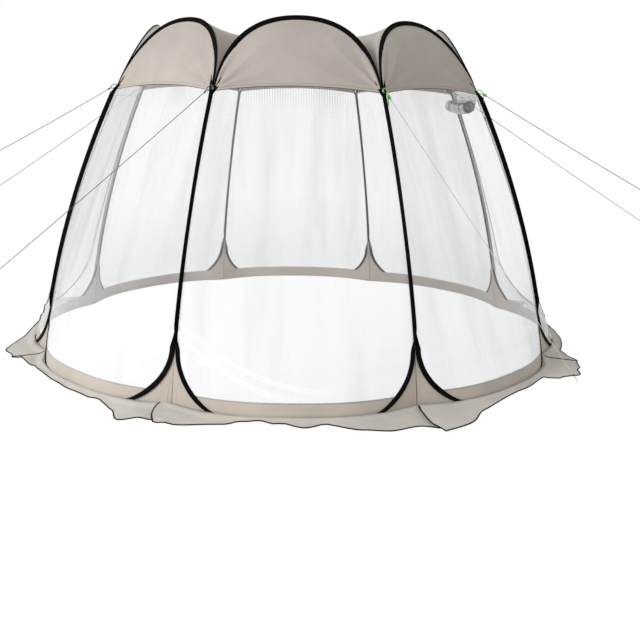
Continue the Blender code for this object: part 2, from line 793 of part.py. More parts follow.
def rope_line(corner, target):
    """Where a loop starts at its corner's knot, the way to its rope's far end, and the side direction."""
    radial = knot_direction(corner)
    start = radial * KNOT_RADIUS + Vector((0, 0, KNOT_HEIGHT))
    along = (target - start).normalized()
    side = Vector((0, 0, 1)).cross(along).normalized()
    corners = [spot for ring in loop_rings(start, along, side) for spot in ring]
    tangent = Vector((-radial.y, radial.x, 0))
    push = 0.0
    for spot in corners:
        face = seam_radius(spot.z) + sleeves_outside(abs(spot.dot(tangent)))
        push = max(push, face + GAP - spot.dot(radial))
    start += radial * push
    along = (target - start).normalized()
    return start, along, Vector((0, 0, 1)).cross(along).normalized()


def sleeves_outside(side):
    """How far the two sleeves at a seam reach outside the seam line, at this distance to its side."""
    ends = []
    for x, y in sleeve_section(SLEEVE_TAIL_SEAM)[:2]:
        aside = x * cos(HALF_ANGLE) + y * sin(HALF_ANGLE)
        outward = y * cos(HALF_ANGLE) - x * sin(HALF_ANGLE)
        ends.append((aside + seam_offset(), outward - seam_offset() * tan(HALF_ANGLE)))
    near, far = ends
    slope = (far[1] - near[1]) / (far[0] - near[0])
    return min(near[1] + (side - near[0]) * slope, far[1] - (side - far[0]) * tan(HALF_ANGLE))


def loop_rings(start, along, side):
    """Rings of a flat webbing loop that stands on edge, its near end at the start."""
    over = along.cross(side)

    def oval(shrink, lift):
        length = LOOP_LENGTH / 2 - shrink
        width = LOOP_WIDTH / 2 - shrink
        ring = []
        for k in range(LOOP_SIDES):
            angle = 2 * pi * k / LOOP_SIDES
            spot = start + along * (LOOP_LENGTH / 2 + length * cos(angle)) + over * (width * sin(angle))
            ring.append(spot + side * lift)
        return ring

    half = LOOP_THICK / 2
    return [oval(0, -half), oval(0, half), oval(LOOP_BAND, half), oval(LOOP_BAND, -half)]


def loop_object(name, corner, target):
    data = lofted(name, loop_rings(*rope_line(corner, target)), closed=True)
    return new_object(name, data, "loop")


def rope_points(start, target, along, side):
    """The rope's centre line: nearly straight with a slight sag, then a long eye that ends at the target."""
    throat = target - along * EYE_LENGTH
    run = throat - start
    down = along.cross(side)
    count = ceil(run.length / ROPE_STEP)
    points = []
    for k in range(count + 1):
        share = k / count
        points.append(start + run * share - down * (4 * ROPE_SAG * share * (1 - share)))
    width = EYE_HALF_WIDTH / EYE_FULLEST
    close = 0.0
    while 2 * width * sin(close) * sin(close / 2) ** 2 < ROPE_DIAMETER + GAP:
        close += 0.01
    for k in range(1, EYE_POINTS):
        angle = (2 * pi - close) * k / (EYE_POINTS - 1)
        out = EYE_LENGTH * (1 - cos(angle)) / 2
        points.append(throat + along * out + side * (width * sin(angle) * sin(angle / 2) ** 2))
    return points


def rope_object(name, corner, target):
    start, along, side = rope_line(corner, target)
    data = bpy.data.curves.new(name, "CURVE")
    data.dimensions = "3D"
    data.bevel_depth = ROPE_DIAMETER / 2
    data.bevel_resolution = 1
    data.use_fill_caps = True
    points = rope_points(start + along * (LOOP_LENGTH + GAP), target, along, side)
    spline = data.splines.new("POLY")
    spline.points.add(len(points) - 1)
    for knot, point in zip(spline.points, points):
        knot.co = (*point, 1.0)
    return new_object(name, data, "rope")


def build():
    for obj in list(bpy.data.objects):
        bpy.data.objects.remove(obj, do_unlink=True)
    rod = rod_mesh()
    sleeve = sleeve_mesh()
    crown = crown_mesh()
    plain_wall = clear_wall_mesh()
    door_wall = door_wall_mesh()
    zip_data = zip_mesh()
    for index, panel in enumerate(PANEL_NAMES):
        turn = panel_turn(index)
        new_object(f"spring_rod_{panel}", rod, "steel", turn)
        new_object(f"hoop_sleeve_{panel}", sleeve, "sleeve", turn)
        thicken(new_object(f"crown_{panel}", crown, "canopy", turn), CLOTH)
        wall = door_wall if panel in DOOR_PANELS else plain_wall
        thicken(new_object(f"clear_wall_{panel}", wall, "clear_film", turn), FILM)
        flap = skirt_mesh(phase=SKIRT_FIRST_SHIFT + SKIRT_SHIFT * index)
        thicken(new_object(f"skirt_flap_{panel}", flap, "skirt", turn), CLOTH)
        if panel in DOOR_PANELS:
            new_object(f"door_zip_{panel}", zip_data, "zip", turn)
    thicken(new_object("mud_wall", mud_wall_mesh(), "skirt"), CLOTH)
    thicken(new_object("roof", roof_mesh(), "canopy"), CLOTH)
    right_turn = panel_turn(PANEL_NAMES.index("right"))
    left_turn = panel_turn(PANEL_NAMES.index("left"))
    thicken(new_object("rolled_door_right", roll_mesh(), "clear_film", right_turn), FILM)
    pivot = on_wall(0, DOOR_HEAD)
    hinge = Matrix.Rotation(left_turn, 4, "Z") @ pivot
    thicken(new_object("door_leaf_left", door_leaf_mesh(pivot), "clear_film", left_turn, hinge), FILM)
    for panel, turn, side in (("left", left_turn, 1), ("right", right_turn, -1)):
        pivot = Matrix.Rotation(turn, 4, "Z") @ slide_circle(side)[0]
        new_object(f"zip_slider_{panel}", slider_mesh(side, SLIDE_HIGH), "metal", turn, pivot)
    for name, (corner, run) in ROPES.items():
        target = rope_target(corner, run)
        loop_object(f"guy_loop_{name}", corner, target)
        rope_object(f"guy_rope_{name}", corner, target)


build()
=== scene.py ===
"""Looks of the eight-sided pop-up shelter: fabrics, clear film, sleeves, zips, ties, ropes, light and
camera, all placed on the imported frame. Metres, +Z up, -Y towards the front panel."""

from math import atan2, ceil, cos, exp, hypot, pi, radians, sin, tan

import bmesh
import bpy
from mathutils import Matrix, Vector, noise
from mathutils.geometry import interpolate_bezier


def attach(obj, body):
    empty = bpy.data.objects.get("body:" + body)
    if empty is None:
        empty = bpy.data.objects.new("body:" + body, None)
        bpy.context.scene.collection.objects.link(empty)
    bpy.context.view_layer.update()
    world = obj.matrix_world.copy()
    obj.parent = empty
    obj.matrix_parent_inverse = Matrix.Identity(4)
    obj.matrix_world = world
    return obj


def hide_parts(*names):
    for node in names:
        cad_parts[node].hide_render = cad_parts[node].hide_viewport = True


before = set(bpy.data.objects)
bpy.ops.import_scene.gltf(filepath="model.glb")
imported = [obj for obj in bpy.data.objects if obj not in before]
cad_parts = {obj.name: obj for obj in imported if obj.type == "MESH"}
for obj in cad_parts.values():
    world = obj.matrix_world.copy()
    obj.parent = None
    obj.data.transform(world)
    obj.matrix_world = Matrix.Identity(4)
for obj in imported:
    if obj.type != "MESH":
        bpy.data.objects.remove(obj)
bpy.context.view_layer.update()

# Overall form, as in the solid model
FLOOR_RADIUS = 1.83
KNOT_HEIGHT = 1.764
KNOT_SETBACK = 0.565
SEAM_LEAN = 0.139
ARCH_RISE = 0.401
ARCH_SETBACK = 0.1987
ROOF_DIP = 0.015
ROOF_FULLNESS = 2.3
ROOF_SAG = 0.085
EDGE_FULLNESS = 5.0
KNOT_RADIUS = FLOOR_RADIUS - KNOT_SETBACK
SEAM_BOW = (FLOOR_RADIUS - SEAM_LEAN * KNOT_HEIGHT - KNOT_RADIUS) / KNOT_HEIGHT**2
APEX_HEIGHT = KNOT_HEIGHT + ARCH_RISE
TIP_HEIGHT = 0.34
FOOT_HALF = 0.40
ARCH_RISE_HANDLE = 0.26
ARCH_TOP_HANDLE = 0.27
ROUND_BEND = 0.5523
FOOT_BOW = 0.215
BOW_FADE = 2.2
BOW_SHARPNESS = 2.5
SLOPE_STEP = 0.001
PANELS = 8
UP = Vector((0, 0, 1))
HALF_ANGLE = pi / PANELS
PANEL_NAMES = ("front", "front_right", "right", "back_right", "back", "back_left", "left", "front_left")
FIRST_AZIMUTH = -pi / 2
DOOR_PANELS = ("right", "left")

# Sleeves and rods
ROD_RADIUS = 0.0025
TAPE = 0.0010
POCKET_SLACK = 0.0004
POCKET = ROD_RADIUS + POCKET_SLACK + TAPE
SEAM_GAP = 0.0004
LIP = 0.0010
TAIL_FREE = 0.027
TAIL_SPREAD = 0.03
TAIL_FOLDED = 0.025
TAIL_LEAN = 0.07
TAIL_FOOT = 0.012
FOOT_TAIL_END = 0.60
FOOT_TAIL_RUN = 0.16
FOLD_START = TIP_HEIGHT - 0.03
FOLD_RUN = 0.13
FOLD_END = KNOT_HEIGHT - 0.012
FOLD_OUT = 0.05
MOUTH = 0.0035
STITCH_AT = 0.0085
STEPS = {"foot": 12, "corner": 20, "side": 24, "arch": 28}

# Cloths and film
FILM = 0.0005
CLOTH = 0.0006
BEHIND = POCKET + SEAM_GAP + CLOTH / 2
HEM_DROP = 0.020
HEM_END = KNOT_HEIGHT - HEM_DROP
HEM_RISE = 0.034
HEM_LAP = 0.012
CROWN_BULGE = 0.016
STRIP_HEIGHT = 0.096
FILM_FOOT = STRIP_HEIGHT - 0.008
GUSSET_LAP = 0.012
PEAK_ABOVE_TIP = 0.03
SKIRT_SEW = 0.022
SKIRT_WIDTH = 0.320
SKIRT_LEVEL = 0.260
EDGE_SPREAD = 1.15
SKIRT_LEAST = 0.055
FLAP_LOW = 0.004
UNSEEN_WAVES = ((1.6, 0.37), (3.7, 0.61))
SIGHT_FALL = 2.5
BINDING_RADIUS = 0.0036
MITRE_GAP = 0.003

# Doorways
DOOR_INSET = 0.105
DOOR_SILL = 0.175
DOOR_SILL_HALF = 0.20
DOOR_TURN = 0.50
DOOR_HEAD = KNOT_HEIGHT - 0.064
ZIP_HALF_WIDTH = 0.0075
COIL_HALF_WIDTH = 0.0036
ROLL_RADIUS = 0.045
ROLL_END_MARGIN = 0.03
ROLL_CORE = 0.020
ROLL_TURNS = 3.5
ROLL_STEPS = 28
TIE_AT = 0.55

# Cloth and film as cut, before they are sewn in
CROWN_HEIGHT = 0.44
ROOF_FLAT = (2.3, 2.3)
WALL_FLAT = (1.31, 1.78)
MUD_FLAT = (11.6, 0.37)
FLAP_FLAT = (1.75, 0.33)
LEAF_FLAT = (1.10, 1.58)
ROLL_LENGTH = 0.9

# Guy ropes
ROPE_DIAMETER = 0.004
ROPE_STEP = 0.10
ROPE_SAG = 0.004
LOOP_LENGTH = 0.045
LOOP_WIDTH = 0.024
LOOP_THICK = 0.004
LOOP_BAND = 0.005
EYE_LENGTH = 0.050
EYE_HALF_WIDTH = 0.015
EYE_FULLEST = 0.65
EYE_POINTS = 17
WINDING_STEPS = 14
TIE_WINDING = (0.0058, 0.0030)
CORD_WINDING = (0.0038, 0.0018)
# Each cord's own colour, and the lighter colour of its strands' crests, a painted highlight
CORD_COLOURS = {
    "guy_cord": ((0.035,) * 3, (0.16,) * 3),
    "black_cord": ((0.012,) * 3, (0.04,) * 3),
    "green_tie": ((0.08, 0.42, 0.03), (0.22, 0.72, 0.10)),
    "pale_guy_cord": ((0.50, 0.53, 0.44), (0.74, 0.77, 0.68)),
}
# Corner, counted from the front right one, far end (from the knot along X and Y, and its height), tie and cord
ROPES = {
    "front_right": (0, (1.291, -0.046, 0.003), "green_tie", "pale_guy_cord"),
    "right_front": (1, (1.073, -0.445, 1.128), "green_tie", "black_cord"),
    "right_back": (2, (2.080, 0.862, 0.572), "green_tie", "guy_cord"),
    "left_back": (5, (-1.483, 0.615, 0.847), "black_cord", "guy_cord"),
    "left_front": (6, (-0.770, -0.319, 1.308), "black_cord", "guy_cord"),
    "front_left": (7, (-1.386, -0.003, 0.607), "guy_cord", "black_cord"),
}

# Camera: place, turns in degrees, and lens for a 36 mm sensor; lamp and what it is aimed at
CAMERA_AT = (0.0, -6.18174, 1.73301)
CAMERA_DOWN = 15.11
CAMERA_YAW = -1.69
CAMERA_ROLL = 0.92
CAMERA_LENS = 47.35
LAMP_AT = Vector((-6.0, -5.5, 5.0))
LAMP_AIM = Vector((0, 0, 0.9))
WHITE = (1.0, 1.0, 1.0, 1.0)


# -------- surfaces of the shelter


def seam_radius(z):
    """Distance from the middle to the line where two panels meet."""
    return FLOOR_RADIUS - SEAM_LEAN * z - SEAM_BOW * z * z


def seam_slope(z):
    return -SEAM_LEAN - 2 * SEAM_BOW * z


def seam_half(z):
    return seam_radius(z) * sin(HALF_ANGLE)


def seam_offset():
    """How far a hoop's centre line keeps from the plane of its seam."""
    ends = ((POCKET, POCKET - TAPE), (TAPE - POCKET, POCKET))
    return max(x * cos(HALF_ANGLE) + y * sin(HALF_ANGLE) for x, y in ends) + SEAM_GAP / 2


HOOP_INSET = seam_offset() / cos(HALF_ANGLE)


def hoop_half(z):
    """Half width of a hoop's centre line along its straight sides."""
    return seam_half(z) - HOOP_INSET


def wall_distance(z):
    """Distance from the middle to a panel's wall, and up into its arch."""
    if z <= KNOT_HEIGHT:
        return seam_radius(z) * cos(HALF_ANGLE)
    rise = z - KNOT_HEIGHT
    lean = -seam_slope(KNOT_HEIGHT) * cos(HALF_ANGLE)
    bow = (ARCH_SETBACK - lean * ARCH_RISE) / ARCH_RISE**2
    return KNOT_RADIUS * cos(HALF_ANGLE) - lean * rise - bow * rise * rise


def wall_reach(u, z):
    """Distance of the wall's surface along X, on the panel that faces +X."""
    share = abs(u) / hoop_half(z)
    bow = FOOT_BOW * max(0.0, 1 - z / KNOT_HEIGHT) ** BOW_FADE
    return wall_distance(z) + bow * (1 - share**BOW_SHARPNESS)


def wall_rise(u, z):
    return (wall_reach(u, z + SLOPE_STEP) - wall_reach(u, z - SLOPE_STEP)) / (2 * SLOPE_STEP)


def wall_normal(u, z):
    across = (wall_reach(u + SLOPE_STEP, z) - wall_reach(u - SLOPE_STEP, z)) / (2 * SLOPE_STEP)
    return Vector((1, -across, -wall_rise(u, z))).normalized()


def level_normal(u, z):
    return Vector((1, 0, -wall_rise(u, z))).normalized()


def on_wall(u, z, lift=0.0):
    """A point on the panel that faces +X: u across, z up, lift outward from its surface."""
    point = Vector((wall_reach(u, z), u, z))
    return point + wall_normal(u, z) * lift if lift else point


def panel_turn(index):
    return FIRST_AZIMUTH + index * 2 * HALF_ANGLE


def smooth(x):
    x = min(1.0, max(0.0, x))
    return x * x * (3 - 2 * x)


def wobble(x, y, z):
    return noise.noise(Vector((x, y, z)))


def bent(start, first, second, end, steps):
    """Points along one bend, without its start."""
    points = interpolate_bezier(Vector(start), Vector(first), Vector(second), Vector(end), steps + 1)
    return [(point.x, point.y) for point in points[1:]]


def side_line(inset, foot, foot_half, turn, top, corner_steps, side_steps):
    """Foot end, lower corner and side of an outline on a panel, as (u, z) points."""
    end = Vector((seam_half(turn) - inset, turn))
    along = Vector((seam_slope(turn) * sin(HALF_ANGLE), 1)).normalized()
    first = (foot_half + ROUND_BEND * (end.x - foot_half), foot)
    second = end - along * ROUND_BEND * (turn - foot)
    line = [(foot_half, foot)] + bent((foot_half, foot), first, second, end, corner_steps)
    for step in range(1, side_steps + 1):
        z = turn + (top - turn) * step / side_steps
        line.append((seam_half(z) - inset, z))
    return line


def hoop_line():
    """The hoop's centre line as (u, z) points, from the middle of its foot up the right side and down the left."""
    foot = POCKET * wall_normal(0, 0).x + (POCKET - TAPE) * wall_normal(0, 0).z
    line = [(FOOT_HALF * k / STEPS["foot"], foot) for k in range(STEPS["foot"])]
    line += side_line(HOOP_INSET, foot, FOOT_HALF, TIP_HEIGHT, KNOT_HEIGHT, STEPS["corner"], STEPS["side"])
    start = Vector(line[-1])
    along = Vector((seam_slope(KNOT_HEIGHT) * sin(HALF_ANGLE), 1)).normalized()
    first = start + along * ARCH_RISE_HANDLE
    line += bent(start, first, (ARCH_TOP_HANDLE, APEX_HEIGHT), (0, APEX_HEIGHT), STEPS["arch"])
    return line + [(-u, z) for u, z in reversed(line[1:-1])]


def moved_in(line, offset):
    """A closed outline moved into the panel by offset."""
    moved = []
    for index, (u, z) in enumerate(line):
        before = line[index - 1]
        after = line[(index + 1) % len(line)]
        along = Vector((after[0] - before[0], after[1] - before[1])).normalized()
        moved.append((u - along.y * offset, z + along.x * offset))
    return moved


HOOP = hoop_line()
KNOT = STEPS["foot"] + STEPS["corner"] + STEPS["side"]
MOUTH_LINE = moved_in(HOOP, MOUTH)


def half_at(z, line=MOUTH_LINE):
    """Half width of an outline at a height below the knots."""
    for (u0, z0), (u1, z1) in zip(line[:KNOT], line[1 : KNOT + 1]):
        if z1 >= z and z1 > z0:
            return u0 + (u1 - u0) * max(0.0, z - z0) / (z1 - z0)
    return line[KNOT][0]


HEM_HALF = half_at(HEM_END)


def height_at(u):
    """Height of the hoop's foot or lower corner at a distance from the middle of the panel."""
    corner = STEPS["foot"] + STEPS["corner"]
    for (u0, z0), (u1, z1) in zip(HOOP[:corner], HOOP[1 : corner + 1]):
        if u1 >= abs(u):
            return z0 + (z1 - z0) * max(0.0, abs(u) - u0) / (u1 - u0)
    return HOOP[corner][1]


def hem_height(u):
    half = seam_half(KNOT_HEIGHT)
    return HEM_END + HEM_RISE * (1 - (u / half) ** 2)


def hoop_stations():
    """(centre, into the panel, outward, sleeve tail, how far folded) at each point of the hoop. Where two hoops lie
    side by side their tails turn outward and stand together along the seam."""
    centres = [on_wall(u, z) for u, z in HOOP]
    stations = []
    for index, (u, z) in enumerate(HOOP):
        along = (centres[(index + 1) % len(HOOP)] - centres[index - 1]).normalized()
        normal = wall_normal(u, z)
        inward = normal.cross(along).normalized()
        free = (centres[index].x * tan(HALF_ANGLE) - abs(u)) * cos(HALF_ANGLE) - seam_offset()
        spread = min(1.0, max(0.0, free / TAIL_SPREAD))
        folded = (1 - spread) * smooth((z - FOLD_START) / FOLD_RUN) * smooth((FOLD_END - z) / FOLD_OUT)
        tail = TAIL_FREE
        if z < TIP_HEIGHT:
            tail -= (TAIL_FREE - TAIL_FOOT) * spread * smooth((FOOT_TAIL_END - abs(u)) / FOOT_TAIL_RUN)
        tail += (TAIL_FOLDED - tail) * folded
        turn = Matrix.Rotation((pi / 2 + HALF_ANGLE + TAIL_LEAN) * folded, 3, along)
        stations.append((centres[index], turn @ inward, turn @ normal, tail, folded))
    return stations


# -------- finishes

WAVE_LENGTH = 0.314  # of the bands of a wave texture at scale 1
WEAVE_RELIEF = 0.0003
STITCH_LENGTH = 0.0035
STITCH_HALF_WIDTH = 0.0012
GROOVE_HALF_WIDTH = 0.0035
GROOVE_DEPTH = 0.0012
SEAM_HALF_WIDTH = 0.003
SEAM_DEPTH = 0.0015
DULL = {"sheen": 0.0, "gloss": 0.03}


def node(tree, kind, inputs=None, **settings):
    """Adds a node, sets its settings, and links or sets its inputs."""
    made = tree.nodes.new("ShaderNode" + kind)
    for key, value in settings.items():
        setattr(made, key, value)
    for key, value in (inputs or {}).items():
        socket = made.inputs[key]
        if isinstance(value, bpy.types.NodeSocket):
            tree.links.new(value, socket)
        else:
            socket.default_value = value
    return made


def finish(name, colour, roughness, **sockets):
    """A new material with these values on its shader, and its tree."""
    made = bpy.data.materials.new(name)
    made.use_nodes = True
    shader = made.node_tree.nodes["Principled BSDF"]
    shader.inputs["Base Color"].default_value = (*colour, 1.0)
    shader.inputs["Roughness"].default_value = roughness
    for key, value in sockets.items():
        shader.inputs[key.replace("_", " ")].default_value = value
    return made, made.node_tree


def surfaced(made, tint=None, height=None, strength=1.0, rough=None):
    """Links colour, relief and roughness to a material's shader."""
    tree = made.node_tree
    links = {"Base Color": tint, "Roughness": rough}
    if height is not None:
        bump = node(tree, "Bump", {"Height": height, "Strength": strength, "Distance": 1.0})
        links["Normal"] = bump.outputs[0]
    for key, value in links.items():
        if value is not None:
            tree.links.new(value, tree.nodes["Principled BSDF"].inputs[key])
    return made


def mixed(share, first, second, output="Material Output"):
    """Ends a tree in a mix of two shaders."""
    tree = share.id_data
    both = node(tree, "MixShader", {0: share, 1: first.outputs[0], 2: second.outputs[0]})
    tree.links.new(both.outputs[0], tree.nodes[output].inputs["Surface"])


# The functions below add to the tree of their first socket


def ramp(value, low, high, to_low=0.0, to_high=1.0):
    ends = {"From Min": low, "From Max": high, "To Min": to_low, "To Max": to_high}
    return node(value.id_data, "MapRange", {"Value": value, **ends}).outputs["Result"]


def sums(operation, *values, **settings):
    tree = values[0].id_data
    return node(tree, "Math", dict(enumerate(values)), operation=operation, **settings).outputs[0]


def times(product, *factors):
    for factor in factors:
        product = sums("MULTIPLY", product, factor)
    return product


def plus(total, *terms):
    for term in terms:
        total = sums("ADD", total, term)
    return total


def less(value, taken):
    return sums("SUBTRACT", value, taken)


def blended(share, first, second):
    return node(share.id_data, "Mix", {0: share, 6: first, 7: second}, data_type="RGBA").outputs[2]


def place_of(tree):
    return node(tree, "TexCoord").outputs["Object"]


def chart_of(tree):
    """The piece's own map in metres, whole and split into along and across."""
    uv = node(tree, "UVMap", uv_map="chart").outputs[0]
    parts = node(tree, "SeparateXYZ", {0: uv})
    return uv, parts.outputs[0], parts.outputs[1]


def scaled(uv, along, across, turn=0.0):
    inputs = {"Vector": uv, "Rotation": (0.0, 0.0, turn), "Scale": (along, across, 1.0)}
    return node(uv.id_data, "Mapping", inputs).outputs[0]


def cloudy(spot, scale, detail):
    inputs = {"Vector": spot, "Scale": scale, "Detail": detail}
    return node(spot.id_data, "TexNoise", inputs).outputs["Fac"]


def weave_height(uv, pitch):
    """Over and under of a plain weave with threads this far apart."""
    inputs = {"Vector": uv, "Scale": WAVE_LENGTH / pitch}
    threads = [node(uv.id_data, "TexWave", inputs, bands_direction=way) for way in ("X", "Y")]
    return times(*(thread.outputs["Fac"] for thread in threads))


def line_near(value, place, half_width):
    """1 on a line where value is near place, 0 away from it."""
    return ramp(sums("ABSOLUTE", less(value, place)), half_width, half_width * 0.5)


def dashes(along, pitch):
    """1 on a stitch and 0 between two stitches."""
    return ramp(sums("PINGPONG", along, pitch), pitch * 0.15, pitch * 0.25)


def cloth(name, colour, depth, pitch, roughness, wrinkle, edge=None, stitch=None, seam=None, sheen=0.2, gloss=0.25):
    """Woven cloth: mottled colour, weave and fine crumple, and where asked a dark edge as its width and strength, a
    row of stitches and a seam, each at its distance."""
    made, tree = finish(name, colour, roughness, Sheen_Weight=sheen, Sheen_Roughness=0.5, Specular_IOR_Level=gloss)
    place = place_of(tree)
    uv, along, across = chart_of(tree)

    def shade(share):
        return (*(min(1.0, c * share) for c in colour), 1.0)

    patches = cloudy(place, 3.2, 5.0)
    tint = blended(ramp(patches, 0.3, 0.7), shade(1 - depth), shade(1 + depth))
    specks = ramp(cloudy(place, 60.0, 2.0), 0.35, 0.75, 0.0, 0.18)
    tint = blended(specks, tint, shade(1 - depth))
    weave = times(weave_height(uv, pitch), WEAVE_RELIEF)
    height = plus(weave, times(cloudy(place, 22.0, 4.0), wrinkle))
    if stitch:
        row = times(line_near(across, stitch, STITCH_HALF_WIDTH), dashes(along, STITCH_LENGTH))
        tint = blended(row, tint, shade(0.45))
        height = less(height, times(line_near(across, stitch, GROOVE_HALF_WIDTH), GROOVE_DEPTH))
    if edge:
        width, strength = edge
        tint = blended(ramp(across, width, width * 0.6, 0.0, strength), tint, (0.02, 0.02, 0.02, 1.0))
    if seam:
        fold = line_near(sums("ABSOLUTE", along), seam, SEAM_HALF_WIDTH)
        tint = blended(fold, tint, shade(0.35))
        height = less(height, times(fold, SEAM_DEPTH))
    return surfaced(made, tint, height, 0.6, ramp(patches, 0.2, 0.8, roughness - 0.08, roughness + 0.08))


def clear_film(name, haze=0.055, streak=0.08, colour=(0.90, 0.91, 0.92), reflection_banded=False):
    """Clear soft film: seen through, with a milky veil, broad soft folds and fine creases darkened with painted
    shade, pleats under the hem painted as dark lines of shade, and a glossy skin; and where reflection_banded, two
    curved bands over its foot with less veil, which show brighter as painted reflections."""
    made, tree = finish(name, colour, 0.10, Specular_IOR_Level=0.5, Coat_Weight=0.3)
    uv, along, across = chart_of(tree)
    patch = cloudy(place_of(tree), 1.9, 2.0)
    folds = cloudy(scaled(uv, 4.5, 0.55, 0.14), 1.0, 3.0)
    creases = ramp(cloudy(scaled(uv, 24.0, 0.9), 1.0, 2.0), 0.56, 0.74)
    fine = times(creases, ramp(patch, 0.50, 0.70), ramp(across, 0.55, 1.0, 0.15, 1.0))
    # Pleats under the hem, painted only: dark lines of painted shade where the film gathers, with more veil there.
    pleats = ramp(sums("SINE", times(along, 420.0)), 0.2, 1.0)
    pleats = times(pleats, ramp(across, 1.58, 1.77), ramp(patch, 0.35, 0.6))
    milky = ramp(folds, 0.46, 0.68, haze, haze + streak)
    veil = plus(milky, times(fine, streak), times(pleats, 2.4 * streak))
    veil = plus(veil, ramp(across, 0.85, 0.25, 0.0, 0.13))
    # Painted reflections: two curved bands with less veil, so they show brighter, in place of the gloss on the
    # wrinkles over the foot.
    if reflection_banded:
        bowl = times(sums("POWER", plus(along, -0.20), 2.0), 0.45)
        above = less(across, bowl)
        long_reflection_band = times(line_near(above, 0.150, 0.020), ramp(along, 0.25, 0.0))
        short_reflection_band = times(line_near(above, 0.080, 0.024), ramp(along, 0.02, -0.15))
        veil = times(veil, ramp(sums("MAXIMUM", long_reflection_band, short_reflection_band), 0.0, 1.0, 1.0, 0.1))
    facing = node(tree, "LayerWeight", {"Blend": 0.5}).outputs["Facing"]
    glance = times(sums("POWER", facing, 3.5), 0.6)
    # Painted shade: the film's colour is darkened in its broad folds and fine creases, and near black in the pleats
    # under the hem.
    dark = (*(c * 0.78 for c in colour), 1.0)
    tint = blended(times(ramp(folds, 0.50, 0.66), 0.8), (*colour, 1.0), dark)
    tint = blended(pleats, blended(fine, tint, dark), (0.25, 0.27, 0.27, 1.0))
    surfaced(made, tint, plus(times(folds, 0.010), times(fine, 0.0012)), 0.5)
    clear = node(tree, "BsdfTransparent", {"Color": (0.991, 0.992, 0.992, 1.0)})
    mixed(sums("ADD", veil, glance, use_clamp=True), clear, tree.nodes["Principled BSDF"])
    return made


def cord_finish(name, colour, crest_highlight):
    """Braided cord: two sets of strands that wind against each other, with a painted highlight that makes their
    raised crests lighter than the grooves.
    """
    made, tree = finish(name, colour, 0.7, Sheen_Weight=0.3)
    _, along, across = chart_of(tree)
    ways = [plus(times(along, 600.0), times(across, slant)) for slant in (1000.0, -1000.0)]
    braid = sums("MAXIMUM", *(sums("SINE", way) for way in ways))
    # Painted highlight: the crest colour where the strands stand highest, the cord's own colour in the grooves
    # between them.
    tint = blended(ramp(braid, -0.2, 1.0), (*colour, 1.0), (*crest_highlight, 1.0))
    return surfaced(made, tint, times(braid, 0.0003), 0.7)


def zip_finish():
    """Black zip: woven tape with a ridge of coil teeth along its middle."""
    made, tree = finish("zip_tape_and_coil", (0.02, 0.02, 0.022), 0.5)
    uv, along, across = chart_of(tree)
    teeth = ramp(sums("SINE", times(along, 2500.0)), -0.4, 0.6)
    teeth = times(line_near(across, 0.0, COIL_HALF_WIDTH), teeth)
    tint = blended(teeth, (0.018, 0.018, 0.02, 1.0), (0.10, 0.10, 0.105, 1.0))
    height = plus(times(teeth, 0.0006), times(weave_height(uv, 0.0008), 0.0002))
    return surfaced(made, tint, height, 0.8, ramp(teeth, 0.0, 1.0, 0.65, 0.3))


def painted_metal():
    """Black painted casting of the zip sliders, worn a little in scattered spots."""
    made, tree = finish("slider_paint", (0.03, 0.03, 0.032), 0.35, Metallic=0.6)
    wear = cloudy(place_of(tree), 400.0, 4.0)
    tint = blended(ramp(wear, 0.6, 0.75), (0.03, 0.03, 0.032, 1.0), (0.22, 0.22, 0.22, 1.0))
    return surfaced(made, tint, times(wear, 0.0002), 0.4)


def drawn_wire():
    """Grey spring wire with fine draw marks."""
    made, tree = finish("spring_wire", (0.42, 0.43, 0.45), 0.35, Metallic=1.0)
    lines = cloudy(scaled(chart_of(tree)[0], 8.0, 4000.0), 1.0, 2.0)
    return surfaced(made, rough=ramp(lines, 0.3, 0.7, 0.28, 0.45))


# -------- making of pieces


def sheet_mesh(columns, rows, place, chart):
    """A grid whose vertices stand at place(a, b), with a and b from 0 to 1, and a map from chart(a, b)."""
    mesh = bmesh.new()
    bmesh.ops.create_grid(mesh, x_segments=columns, y_segments=rows, size=0.5)
    layer = mesh.loops.layers.uv.new("chart")
    spots = {}
    for vert in mesh.verts:
        spots[vert] = (round((vert.co.x + 0.5) * columns) / columns, round((vert.co.y + 0.5) * rows) / rows)
    for face in mesh.faces:
        for loop in face.loops:
            loop[layer].uv = chart(*spots[loop.vert])
    for vert, spot in spots.items():
        vert.co = place(*spot)
    bmesh.ops.remove_doubles(mesh, verts=mesh.verts[:], dist=0.00003)
    bmesh.ops.recalc_face_normals(mesh, faces=mesh.faces[:])
    return mesh


def shown(name, data):
    """A new object in the scene with this data."""
    obj = bpy.data.objects.new(name, data)
    bpy.context.scene.collection.objects.link(obj)
    return obj


def mesh_data(name, mesh, look):
    data = bpy.data.meshes.new(name)
    mesh.to_mesh(data)
    mesh.free()
    data.materials.append(look)
    return data


def piece(name, mesh, look, turn=0.0, body="shelter", stands_for=None, thickness=None):
    """The finished object of a mesh, turned to its panel, riding on its body."""
    mesh.transform(Matrix.Rotation(turn, 4, "Z"))
    data = mesh_data(name, mesh, look)
    data.shade_smooth()
    obj = shown(name, data)
    if thickness:
        shell = obj.modifiers.new("thickness", "SOLIDIFY")
        shell.thickness = thickness
        shell.offset = 0.0
    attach(obj, body)
    if stands_for:
        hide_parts(stands_for)
    return obj


def sheet_piece(
    name, mesh, look, turn, stands_for, slot, flat, body="shelter", least=0.0, extras=None
):
    """A piece of cloth or film, as thick as film or cloth by its slot. Its area, that of the mesh from least up to
    the flat size's, is worked out but not used.
    extras makes the separate pieces on it."""
    area = max(least, min(sum(face.calc_area() for face in mesh.faces), flat[0] * flat[1]))
    thickness = FILM if slot == "clear_film" else CLOTH
    made = piece(name, mesh, look, turn, body, stands_for, thickness)
    extras() if extras else ()


